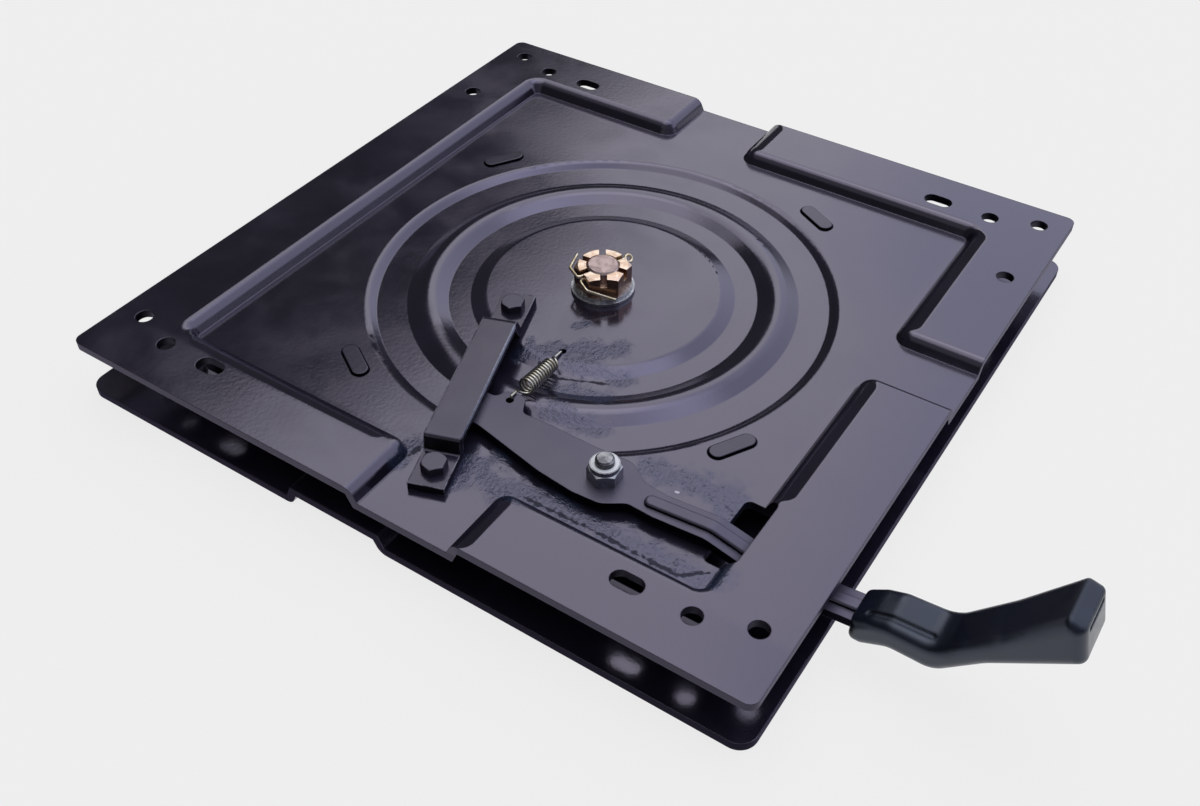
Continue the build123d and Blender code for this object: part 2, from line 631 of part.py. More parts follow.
def grip_flute():
    """Cutter for the flute that follows the upper side of the grip's first run."""
    start, stop = FLUTE_OUT
    floor = parallel(grip_side(GRIP_OVER[:GRIP_BEND]), FLUTE_DEEP)
    points = floor + [(x, z + MARGIN) for x, z in floor[::-1]]
    band = extrude(Plane.XZ * make_face(Polyline(*points, close=True)), GRIP_TIP_W, both=True)
    plan = Pos(PLATE_X / 2 + (start + stop) / 2, FLUTE_SIDE) * SlotOverall(stop - start, FLUTE_W)
    return band & extrude(plan, 4 * HEIGHT)


def make_grip(lever):
    """Plastic grip: a bent side view cut to a tapering width, its edges rounded, a socket for the arm."""
    corners = list(GRIP_UNDER) + [GRIP_TIP] + list(GRIP_OVER[::-1])
    points = grip_side(corners)
    side = extrude(Plane.XZ * rounded(points, [radius for _, _, radius in corners]), GRIP_TIP_W, both=True)
    collar_x = points[0][0] - EDGE_FIND
    tip_x = max(x for x, _ in points) + EDGE_FIND
    plan = Polyline(
        (collar_x, -GRIP_COLLAR_W / 2), (tip_x, -GRIP_TIP_W / 2),
        (tip_x, GRIP_TIP_W / 2), (collar_x, GRIP_COLLAR_W / 2), close=True,
    )
    grip = side & extrude(make_face(plan), 4 * HEIGHT)
    sides = grip.faces().filter_by(lambda face: abs(face.normal_at().Y) > 0.9)
    grip = fillet(sides.edges(), GRIP_EDGE_R)
    grip -= grip_flute()
    long, wide, deep = GRIP_SLOT
    (low_x, low_z), (tip_x, tip_z) = points[len(GRIP_UNDER) - 1], points[len(GRIP_UNDER)]
    share = GRIP_SLOT_EDGE / hypot(tip_x - low_x, tip_z - low_z)
    place = (tip_x + share * (low_x - tip_x), 0, tip_z + share * (low_z - tip_z))
    end = Plane(place, x_dir=(0, 1, 0), z_dir=(low_z - tip_z, 0, tip_x - low_x))
    grip -= extrude(end * SlotOverall(long, wide), deep, both=True)
    return Pos(0, GRIP_Y, 0) * grip - lever


def make_pivot_bolt():
    """Shoulder bolt that carries the lever, its head under the upper plate."""
    head = Rot(180, 0, 0) * hexagon(STUD_HEAD_AF, STUD_HEAD_H, 0.0)
    bolt = Pos(0, 0, PANEL_UNDER) * head
    nut_top = LEVER_TOP + FACE_CLEAR + LOCK_NUT_H
    bolt += Pos(0, 0, PANEL_UNDER) * Cylinder(STUD_D / 2, nut_top + STUD_TIP - PANEL_UNDER, align=BASE)
    bolt = chamfer(bolt.edges().sort_by(Axis.Z)[-1], STUD_D / 10)
    shoulder_h = LEVER_TOP + FACE_CLEAR - PANEL_TOP
    bolt += Pos(0, 0, PANEL_TOP) * Cylinder(PIVOT_SHOULDER_D / 2, shoulder_h, align=BASE)
    return Pos(PIVOT_X, PIVOT_Y, 0) * bolt


def make_pivot_washer():
    """Washer between the lever and the upper plate."""
    bore = PIVOT_SHOULDER_D + 2 * PIVOT_WASHER_FIT
    ring = washer(PIVOT_WASHER_D, bore, PIVOT_WASHER_T, PANEL_TOP + FACE_CLEAR)
    return Pos(PIVOT_X, PIVOT_Y, 0) * ring


def make_lock_nut():
    """Self-locking nut: hexagon with a round collar, bored out for its insert."""
    bottom = LEVER_TOP + FACE_CLEAR
    nut = hexagon(LOCK_NUT_AF, LOCK_NUT_H - INSERT_H, bottom, CASTLE_TURN)
    nut += Pos(0, 0, bottom) * Cylinder(LOCK_NUT_AF / 2 - COLLAR_INSET, LOCK_NUT_H, align=BASE)
    nut -= Pos(0, 0, bottom) * Cylinder(STUD_D / 2, LOCK_NUT_H, align=BASE)
    nut -= Pos(0, 0, bottom + LOCK_NUT_H - INSERT_H) * Cylinder(INSERT_R, INSERT_H, align=BASE)
    return Pos(PIVOT_X, PIVOT_Y, 0) * nut


def make_lock_nut_insert():
    """Nylon ring in the collar of the self-locking nut."""
    bottom = LEVER_TOP + FACE_CLEAR + LOCK_NUT_H - INSERT_H
    return Pos(PIVOT_X, PIVOT_Y, 0) * washer(2 * INSERT_R, STUD_D, INSERT_H, bottom)


def strap_frame():
    """Place on the panel midway between the strap's bolts, with X along the strap."""
    (ax, ay), (bx, by) = STRAP_BOLT_A, STRAP_BOLT_B
    angle = degrees(atan2(by - ay, bx - ax))
    return Pos((ax + bx) / 2, (ay + by) / 2, PANEL_TOP) * Rot(0, 0, angle)


def strap_half_span():
    """Half the distance between the strap's bolts."""
    (ax, ay), (bx, by) = STRAP_BOLT_A, STRAP_BOLT_B
    return hypot(bx - ax, by - ay) / 2


def make_strap():
    """Hat-shaped flat bar bolted down over the lever's tongue."""
    half = strap_half_span()
    foot_end = half + STRAP_FOOT
    leg_a, leg_b = (half - inset for inset in STRAP_LEG_INSET)
    run_a, run_b = STRAP_LEG_RUN
    inner = [
        (-foot_end, 0.0),
        (-leg_a, 0.0),
        (-leg_a + run_a, STRAP_RISE),
        (leg_b - run_b, STRAP_RISE),
        (leg_b, 0.0),
        (foot_end, 0.0),
    ]
    outer = parallel(inner, -STRAP_T)
    bend = STRAP_BEND_R
    crown_a, crown_b = STRAP_CROWN_R
    points = inner + outer[::-1]
    radii = [0, crown_a, bend, bend, crown_b, 0, 0, bend, crown_b, crown_a, bend, 0]
    bar = extrude(Plane.XZ * rounded(points, radii), STRAP_W / 2, both=True)
    holes = [Pos(x, 0, 0) * Cylinder(SMALL_BOLT_D / 2 + SMALL_BOLT_FIT, 4 * STRAP_T) for x in (-half, half)]
    return strap_frame() * (bar - holes)


def make_strap_bolts():
    """Hexagon bolts through the strap's feet, as separate solids."""
    shank_bottom = -SHEET - SMALL_NUT_H - SMALL_TIP
    bolt = Pos(0, 0, shank_bottom) * Cylinder(SMALL_BOLT_D / 2, STRAP_T - shank_bottom, align=BASE)
    bolt += hexagon(SMALL_BOLT_AF, SMALL_HEAD_H, STRAP_T)
    half = strap_half_span()
    return [strap_frame() * Pos(x, 0, 0) * bolt for x in (-half, half)]


def make_strap_nuts():
    """Nuts of the strap's bolts, under the upper plate, as separate solids."""
    nut = Pos(0, 0, -SHEET) * Rot(180, 0, 0) * hexagon(SMALL_BOLT_AF, SMALL_NUT_H, 0.0)
    nut -= Cylinder(SMALL_BOLT_D / 2, 4 * DEEP)
    half = strap_half_span()
    return [strap_frame() * Pos(x, 0, 0) * nut for x in (-half, half)]


def make_pad(place):
    """Glide pad: a block that runs on the lower plate, with a lug up through the upper plate."""
    low = LOWER_PANEL_TOP + PAD_RUN
    body = extrude(SlotOverall(*PAD_BODY), PANEL_UNDER - low)
    lug = extrude(SlotOverall(*PAD_LUG), PANEL_TOP + PAD_LUG_PROUD - low)
    lug = fillet(lug.edges().group_by(Axis.Z)[-1], PAD_LUG_PROUD / 2)
    return Pos(0, 0, low) * (place * (body + lug))


def make_spring():
    """Return spring from the lever's hook hole to the disc: a coil with a bent hook at each end."""
    wire_r = SPRING_WIRE / 2
    hook_x, hook_y = LEVER_HOOK
    anchor_x, anchor_y = SPRING_ANCHOR
    run = Vector(anchor_x - hook_x, anchor_y - hook_y, 0).normalized()
    hook = Vector(hook_x, hook_y, LEVER_TOP + SPRING_BEND_R + SPRING_CLEAR)
    hook += run * (HOOK_HOLE_D / 2 - wire_r - SPRING_SEAT)
    anchor = Vector(anchor_x, anchor_y, PANEL_TOP + SPRING_BEND_R)
    anchor -= run * (ANCHOR_HOLE_D / 2 - wire_r - SPRING_SEAT)
    along = (anchor - hook).normalized()
    coil_length = SPRING_COILS * SPRING_PITCH
    aside = Vector(run.Y, -run.X, 0) * SPRING_ASIDE
    frame = Plane(hook + along * SPRING_LEAD + aside, z_dir=along)
    helix = Helix(SPRING_PITCH, coil_length, SPRING_D / 2 - wire_r)
    section = Plane(helix @ 0, z_dir=helix % 0) * RegularPolygon(wire_r, WIRE_SIDES)
    spring = frame * sweep(section, path=helix, is_frenet=True)
    for end, down, level in ((hook, LEVER_T, 0.0), (anchor, SHEET, coil_length)):
        outwards = SPRING_NECK if level else -SPRING_NECK
        start = frame.from_local_coords(helix @ (1 if level else 0))
        neck = frame.from_local_coords((0, 0, level + outwards))
        foot = end - Vector(0, 0, SPRING_BEND_R + SPRING_CLEAR + down)
        spring += wire_through([start, neck, end, foot], SPRING_BEND_R, SPRING_WIRE)
    return spring


def save(name, shape):
    """Writes one node as a STEP file; a list becomes a group of separate solids."""
    if isinstance(shape, list):
        shape = Compound(children=[solid for item in shape for solid in item.solids()])
    export_step(shape, f"parts/{name}.step")


def main():
    """Builds every piece and writes it to the parts folder."""
    os.makedirs("parts", exist_ok=True)
    save("lower_plate", make_lower_plate())
    save("king_pin", make_king_pin())
    save("lock_ring", make_lock_ring())
    save("ball_cage", make_cage())
    save("bearing_balls", make_balls())
    lower_washer, upper_washer = make_king_washers()
    save("king_washer_lower", lower_washer)
    save("king_washer_upper", upper_washer)
    save("castle_nut", make_castle_nut())
    save("split_pin", make_split_pin())
    save("upper_plate", make_upper_plate())
    for number, place in enumerate(pad_places(), start=1):
        save(f"glide_pad_{number}", make_pad(place))
    save("hold_down_strap", make_strap())
    save("strap_bolts", make_strap_bolts())
    save("strap_nuts", make_strap_nuts())
    save("pivot_bolt", make_pivot_bolt())
    save("pivot_washer", make_pivot_washer())
    save("lock_nut", make_lock_nut())
    save("lock_nut_insert", make_lock_nut_insert())
    save("return_spring", make_spring())
    lever = make_lever()
    save("lock_lever", lever)
    save("grip", make_grip(lever))


if __name__ == "__main__":
    main()
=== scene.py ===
"""Looks of a swivel seat base: enamelled plates, plated fasteners, return spring and a plain studio."""
import logging
import math
from dataclasses import dataclass
from enum import Enum
from functools import cache
from typing import Any

import bpy
import numpy as np
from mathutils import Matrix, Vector


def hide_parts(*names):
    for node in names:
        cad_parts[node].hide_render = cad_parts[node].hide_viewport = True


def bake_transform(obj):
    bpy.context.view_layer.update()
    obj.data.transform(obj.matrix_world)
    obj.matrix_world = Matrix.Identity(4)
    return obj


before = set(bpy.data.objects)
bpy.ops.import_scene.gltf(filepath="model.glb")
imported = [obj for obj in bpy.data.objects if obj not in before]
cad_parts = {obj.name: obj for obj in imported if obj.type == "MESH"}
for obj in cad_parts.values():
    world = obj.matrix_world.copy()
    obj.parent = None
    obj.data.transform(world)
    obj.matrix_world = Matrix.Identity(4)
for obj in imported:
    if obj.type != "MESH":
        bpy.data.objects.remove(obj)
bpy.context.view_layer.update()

LOG = logging.getLogger("swivel_base")

Colour = tuple[float, float, float, float]
Point = tuple[float, float, float]
Pair = tuple[float, float]
Node = bpy.types.Node
Outputs = bpy.types.NodeOutputs
Socket = bpy.types.NodeSocket
Tree = bpy.types.NodeTree

MM_PER_METRE = 1000.0
# Factors that lay a point flat
IN_PLAN: Point = (1.0, 1.0, 0.0)
# Strength of a mark that has no stroke
NO_STROKE = -4.0

# Features of each noise per metre
CLOUDS = 9.0
PATCHES = 38.0
ORANGE_PEEL = 520.0
DUST = 2600.0
EDGE_BREAKS = 150.0
MOTTLES = 260.0
STAINS = 120.0
PLATING_GRAIN = 2400.0
FLOW_MARKS = 70.0
MOULD_GRAIN = 1500.0
FILM_TEARS = 130.0
CORNER_SHADE_TEARS = 330.0
FLECK_AND_GLINT_TEARS = 900.0
BRISTLES = 420.0
CROSS_STROKES = 360.0
BLOTS = 170.0

# Leans of the upper sheet: from and to along Y in metres, and the lean at each
BACK_LEAN = (0.025, 0.11, 0.0, 0.045)
FRONT_LEAN = (-0.12, -0.07, 0.006, 0.0)
LAND_LEAN = (-0.147, -0.141, 0.036, 0.0)
ALL_OVER_LEAN = 0.02


class Body(Enum):
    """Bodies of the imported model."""

    TURNTABLE = "turntable"
    LEVER = "lever"


class Slot(Enum):
    """Material slots of the record."""

    SPRING = "spring_steel"


def linear(red: int, green: int, blue: int) -> Colour:
    """Colour as the renderer takes it, from the usual 0 to 255 screen values.

    The screen's curve is a straight foot up to 0.04045 and a power of 2.4 above it.

    Args:
        red: screen value of red.
        green: screen value of green.
        blue: screen value of blue.

    Returns:
        Linear colour with full alpha.
    """
    shares = np.array((red, green, blue)) / 255.0
    low = shares / 12.92
    high = ((shares + 0.055) / 1.055) ** 2.4
    tone = np.where(shares <= 0.04045, low, high)
    return (float(tone[0]), float(tone[1]), float(tone[2]), 1.0)


class Graph:
    """Adds nodes to one shader tree and joins them."""

    def __init__(self, tree: Tree) -> None:
        """Keeps the tree that nodes go into."""
        self.tree = tree

    def add(self, kind: str, inputs: dict[Any, Any] | None = None, **settings: Any) -> Node:
        """Makes a node.

        Args:
            kind: Blender's name of the node type.
            inputs: sockets or values for its inputs, by name or index.
            settings: properties set on the node itself.

        Returns:
            The new node.
        """
        node = self.tree.nodes.new(kind)
        for key, value in settings.items():
            setattr(node, key, value)
        return self.fill(node, inputs or {})

    def fill(self, node: Node, inputs: dict[Any, Any]) -> Node:
        """Fills inputs of a node.

        Args:
            node: the node.
            inputs: sockets to link or plain values to set, by the input's name or index.

        Returns:
            The node.
        """
        for key, value in inputs.items():
            if isinstance(value, Socket):
                self.tree.links.new(value, node.inputs[key])
            else:
                node.inputs[key].default_value = value
        return node

    def math(self, operation: str, a: Any, b: Any = 0.0, clamp: bool = False) -> Socket:
        """Operation on two values."""
        return self.add("ShaderNodeMath", {0: a, 1: b}, operation=operation, use_clamp=clamp).outputs[0]

    def plus(self, a: Any, b: Any) -> Socket:
        """Sum of two values."""
        return self.math("ADD", a, b)

    def times(self, a: Any, b: Any) -> Socket:
        """Product of two values."""
        return self.math("MULTIPLY", a, b)

    def most(self, a: Any, b: Any) -> Socket:
        """Greater of two values."""
        return self.math("MAXIMUM", a, b)

    def rest(self, share: Any) -> Socket:
        """What a share leaves of 1, not below 0."""
        return self.math("SUBTRACT", 1.0, share, True)

    def vector(self, operation: str, a: Any, b: Any = (0.0, 0.0, 0.0)) -> Socket:
        """Vector made of one or two vectors."""
        return self.add("ShaderNodeVectorMath", {0: a, 1: b}, operation=operation).outputs["Vector"]

    def measure(self, operation: str, a: Any, b: Any = (0.0, 0.0, 0.0)) -> Socket:
        """Value made of one or two vectors, such as a length or a product."""
        return self.add("ShaderNodeVectorMath", {0: a, 1: b}, operation=operation).outputs["Value"]

    def scaled(self, arrow: Any, size: Any) -> Socket:
        """Vector times a value."""
        inputs = {0: arrow, "Scale": size}
        return self.add("ShaderNodeVectorMath", inputs, operation="SCALE").outputs["Vector"]

    def axes(self, arrow: Any) -> tuple[Socket, ...]:
        """X, Y and Z of a vector."""
        return tuple(self.add("ShaderNodeSeparateXYZ", {0: arrow}).outputs)

    def blend(self, share: Any, a: Any, b: Any) -> Socket:
        """Colour a where the share is 0, colour b where it is 1."""
        return self.add("ShaderNodeMix", {0: share, 6: a, 7: b}, data_type="RGBA").outputs[2]

    def mix(self, share: Any, a: Any, b: Any) -> Socket:
        """Value a where the share is 0, value b where it is 1."""
        return self.add("ShaderNodeMix", {0: share, 2: a, 3: b}).outputs[0]

    def between(self, value: Any, low: float, high: float, start: Any = 0.0, end: Any = 1.0) -> Socket:
        """Smooth step from start to end while the value goes from low to high."""
        inputs = {"Value": value, "From Min": low, "From Max": high, "To Min": start, "To Max": end}
        return self.add("ShaderNodeMapRange", inputs, interpolation_type="SMOOTHSTEP").outputs[0]

    def noise(self, place: Any, scale: float, detail: float = 2.0, distortion: float = 0.0) -> Socket:
        """Cloud noise from 0 to 1, with the scale in features per metre."""
        inputs = {"Vector": place, "Scale": scale, "Detail": detail, "Distortion": distortion}
        return self.add("ShaderNodeTexNoise", inputs).outputs[0]

    def stretched(self, place: Any, factors: Point, turn: float = 0.0) -> Socket:
        """Coordinates scaled along each axis and turned about Z, for marks that run one way."""
        inputs = {"Vector": place, "Rotation": (0.0, 0.0, turn), "Scale": factors}
        return self.add("ShaderNodeMapping", inputs, vector_type="POINT").outputs[0]

    def bump(self, height: Any, step: float, normal: Any, strength: float = 0.5) -> Socket:
        """Normal that follows a height, where a height of 1 is a step in metres."""
        inputs = {"Strength": strength, "Distance": step, "Height": height, "Normal": normal}
        return self.add("ShaderNodeBump", inputs).outputs["Normal"]

    def group(self, tree: Tree, **inputs: Any) -> Node:
        """Places a node group with its inputs set."""
        return self.add("ShaderNodeGroup", dict(inputs), node_tree=tree)


def new_group(name: str, inputs: dict[str, str], outputs: dict[str, str]) -> tuple[Graph, Outputs, Node]:
    """Makes an empty shader node group.

    Args:
        name: name of the group.
        inputs: socket types by input name, such as Float, Vector or Color.
        outputs: socket types by output name.

    Returns:
        The group's graph, what it is given and its output node.
    """
    tree = bpy.data.node_groups.new(name, "ShaderNodeTree")
    for in_out, sockets in (("INPUT", inputs), ("OUTPUT", outputs)):
        for label, kind in sockets.items():
            tree.interface.new_socket(label, in_out=in_out, socket_type="NodeSocket" + kind)
    graph = Graph(tree)
    return graph, graph.add("NodeGroupInput").outputs, graph.add("NodeGroupOutput")


class Effects:
    """Node groups that several finishes share, each built once."""

    @cache
    def skin(self) -> Tree:
        """Sprayed enamel: slow clouds of tone, patches of gloss and fine orange peel.

        Returns:
            Group with the tone, the gloss and the height of the peel.
        """
        outputs = {"Tone": "Float", "Gloss": "Float", "Peel": "Float"}
        graph, given, out = new_group("enamel_skin", {"Place": "Vector"}, outputs)
        place = given["Place"]
        slow = graph.noise(place, CLOUDS, 3.0, 0.6)
        patch = graph.noise(place, PATCHES, 3.0, 0.3)
        tone = graph.plus(graph.times(slow, 0.7), graph.times(patch, 0.3))
        dust = graph.between(graph.noise(place, DUST, 1.0), 0.66, 0.78)
        graph.fill(out, {
            "Tone": graph.between(tone, 0.32, 0.68),
            "Gloss": graph.plus(patch, graph.times(dust, 0.35)),
            "Peel": graph.noise(place, ORANGE_PEEL, 2.0),
        })
        return graph.tree

    @cache
    def rubbed_and_lit_edge(self) -> Tree:
        """Outer edges where a finish is rubbed thin, broken up by noise; where a finish gives them a light
        colour, the same mask paints a highlight.

        Returns:
            Group with the mask of the edges and the rounded normal.
        """
        outputs = {"Mask": "Float", "Normal": "Vector"}
        graph, given, out = new_group("rubbed_and_lit_edge", {"Place": "Vector", "Reach": "Float"}, outputs)
        rounded = graph.add("ShaderNodeBevel", {"Radius": given["Reach"]}, samples=4).outputs[0]
        flat = graph.add("ShaderNodeNewGeometry").outputs["Normal"]
        lean = graph.math("SUBTRACT", 1.0, graph.measure("DOT_PRODUCT", rounded, flat))
        edge = graph.between(lean, 0.02, 0.2)
        broken = graph.between(graph.noise(given["Place"], EDGE_BREAKS, 4.0, 0.4), 0.42, 0.62)
        graph.fill(out, {"Mask": graph.times(edge, broken), "Normal": rounded})
        return graph.tree

    @cache
    def matt_shaded_face(self) -> Tree:
        """Upright faces, where a blank was cut and the paint lies thin and matt; the mask also paints them
        dark, as painted shade.

        Returns:
            Group with the mask of those faces.
        """
        graph, given, out = new_group("matt_shaded_face", {"Matt": "Float"}, {"Mask": "Float"})
        normal = graph.add("ShaderNodeNewGeometry").outputs["Normal"]
        slope = graph.math("ABSOLUTE", graph.axes(normal)[2])
        mask = graph.between(slope, 0.25, 0.4, 1.0, 0.0)
        graph.fill(out, {"Mask": graph.times(mask, given["Matt"])})
        return graph.tree

    @cache
    def sheet_lean(self) -> Tree:
        """Pressing that isn't quite flat: it leans along X by a share that changes along Y.

        Returns:
            Group with the leaning normal.
        """
        inputs = {"Place": "Vector", "Normal": "Vector"}
        graph, given, out = new_group("sheet_lean", inputs, {"Normal": "Vector"})
        along = graph.axes(given["Place"])[1]
        back = graph.between(along, *BACK_LEAN)
        front = graph.between(along, *FRONT_LEAN)
        land = graph.between(along, *LAND_LEAN)
        ends = graph.plus(graph.plus(back, front), land)
        lean = graph.math("SUBTRACT", ends, ALL_OVER_LEAN)
        tilt = graph.add("ShaderNodeCombineXYZ", {"X": lean}).outputs[0]
        turned = graph.vector("ADD", given["Normal"], tilt)
        graph.fill(out, {"Normal": graph.vector("NORMALIZE", turned)})
        return graph.tree

    @cache
    def stroke(self) -> Tree:
        """One stroke in plan: 1 on its line, 0 at its radius and below 0 beyond it.

        Returns:
            Group with the stroke's strength.
        """
        inputs = {"Place": "Vector", "Start": "Vector", "Run": "Vector", "Radius": "Float"}
        graph, given, out = new_group("brush_stroke", inputs, {"Strength": "Float"})
        run = given["Run"]
        flat = graph.vector("MULTIPLY", given["Place"], IN_PLAN)
        arm = graph.vector("SUBTRACT", flat, given["Start"])
        along = graph.measure("DOT_PRODUCT", arm, run)
        share = graph.math("DIVIDE", along, graph.measure("DOT_PRODUCT", run, run), True)
        apart = graph.measure("LENGTH", graph.vector("SUBTRACT", arm, graph.scaled(run, share)))
        fall = graph.math("DIVIDE", apart, given["Radius"])
        graph.fill(out, {"Strength": graph.math("SUBTRACT", 1.0, fall)})
        return graph.tree

    @cache
    def plating(self) -> Tree:
        """Plated metal: slow mottling of colour, stains and small changes of gloss.

        Returns:
            Group with the mottling, the stains and the grain.
        """
        outputs = {"Mottle": "Float", "Stain": "Float", "Grain": "Float"}
        graph, given, out = new_group("plating", {"Place": "Vector"}, outputs)
        place = given["Place"]
        graph.fill(out, {
            "Mottle": graph.between(graph.noise(place, MOTTLES, 3.0, 0.8), 0.35, 0.65),
            "Stain": graph.between(graph.noise(place, STAINS, 4.0, 1.2), 0.52, 0.7),
            "Grain": graph.noise(place, PLATING_GRAIN, 2.0),
        })
        return graph.tree

    @cache
    def turned(self) -> Tree:
        """Fine rings round an upright axis, as a lathe leaves them on an end face.

        Returns:
            Group with the rings, from 0 to 1.
        """
        inputs = {"Place": "Vector", "Axis": "Vector", "Pitch": "Float"}
        graph, given, out = new_group("turned_rings", inputs, {"Ring": "Float"})
        arm = graph.vector("SUBTRACT", given["Place"], given["Axis"])
        away = graph.measure("LENGTH", graph.vector("MULTIPLY", arm, IN_PLAN))
        turns = graph.math("DIVIDE", away, given["Pitch"])
        wave = graph.math("SINE", graph.times(turns, math.tau))
        graph.fill(out, {"Ring": graph.between(wave, -1.0, 1.0)})
        return graph.tree

    @cache
    def thread(self) -> Tree:
        """Screw thread as bands along Z that climb once a turn, for bolt ends.

        Returns:
            Group with the height of the crests.
        """
        inputs = {"Place": "Vector", "Axis": "Vector", "Pitch": "Float"}
        graph, given, out = new_group("screw_thread", inputs, {"Crest": "Float"})
        x, y, z = graph.axes(graph.vector("SUBTRACT", given["Place"], given["Axis"]))
        turn = graph.math("DIVIDE", graph.math("ARCTAN2", y, x), math.tau)
        climb = graph.math("SUBTRACT", graph.math("DIVIDE", z, given["Pitch"]), turn)
        graph.fill(out, {"Crest": graph.math("PINGPONG", climb, 0.5)})
        return graph.tree

    @cache
    def moulded(self) -> Tree:
        """Moulded plastic: fine spark-eroded grain and slow flow marks.

        Returns:
            Group with the flow marks and the grain.
        """
        outputs = {"Flow": "Float", "Grain": "Float"}
        graph, given, out = new_group("moulded_grain", {"Place": "Vector"}, outputs)
        place = given["Place"]
        graph.fill(out, {
            "Flow": graph.between(graph.noise(place, FLOW_MARKS, 3.0, 0.8), 0.3, 0.7),
            "Grain": graph.noise(place, MOULD_GRAIN, 2.0),
        })
        return graph.tree


def new_material(name: str) -> tuple[bpy.types.Material, Graph, Node, Socket]:
    """Makes a material with a Principled shader.

    Args:
        name: name of the material.

    Returns:
        The material, its graph, the shader node and the socket of the object's own coordinates.
    """
    material = bpy.data.materials.new(name)
    material.use_nodes = True
    graph = Graph(material.node_tree)
    shader = material.node_tree.nodes["Principled BSDF"]
    place = graph.add("ShaderNodeTexCoord").outputs["Object"]
    return material, graph, shader, place


class Mark(Enum):
    """What a stroke on the plate stands for."""

    FILM = "thin film of brushed grease"
    # Painted shade: dark strokes along the feet of walls and at ring edges by the spring
    CORNER_SHADE = "dark grease in a corner"
    # A small pale mark on the plate; on the strap a painted highlight along its edge
    FLECK_AND_GLINT = "small pale fleck"
    CROWN = "wide rounding of a land's edge"
    # Painted shadow in the gap round a pad's lug
    LUG_SHADOW = "dark seam round a pad's lug"


@dataclass(frozen=True)
class Stroke:
    """One straight stroke in plan, in millimetres."""

    start: Pair
    end: Pair
    radius: float
    mark: Mark = Mark.FILM


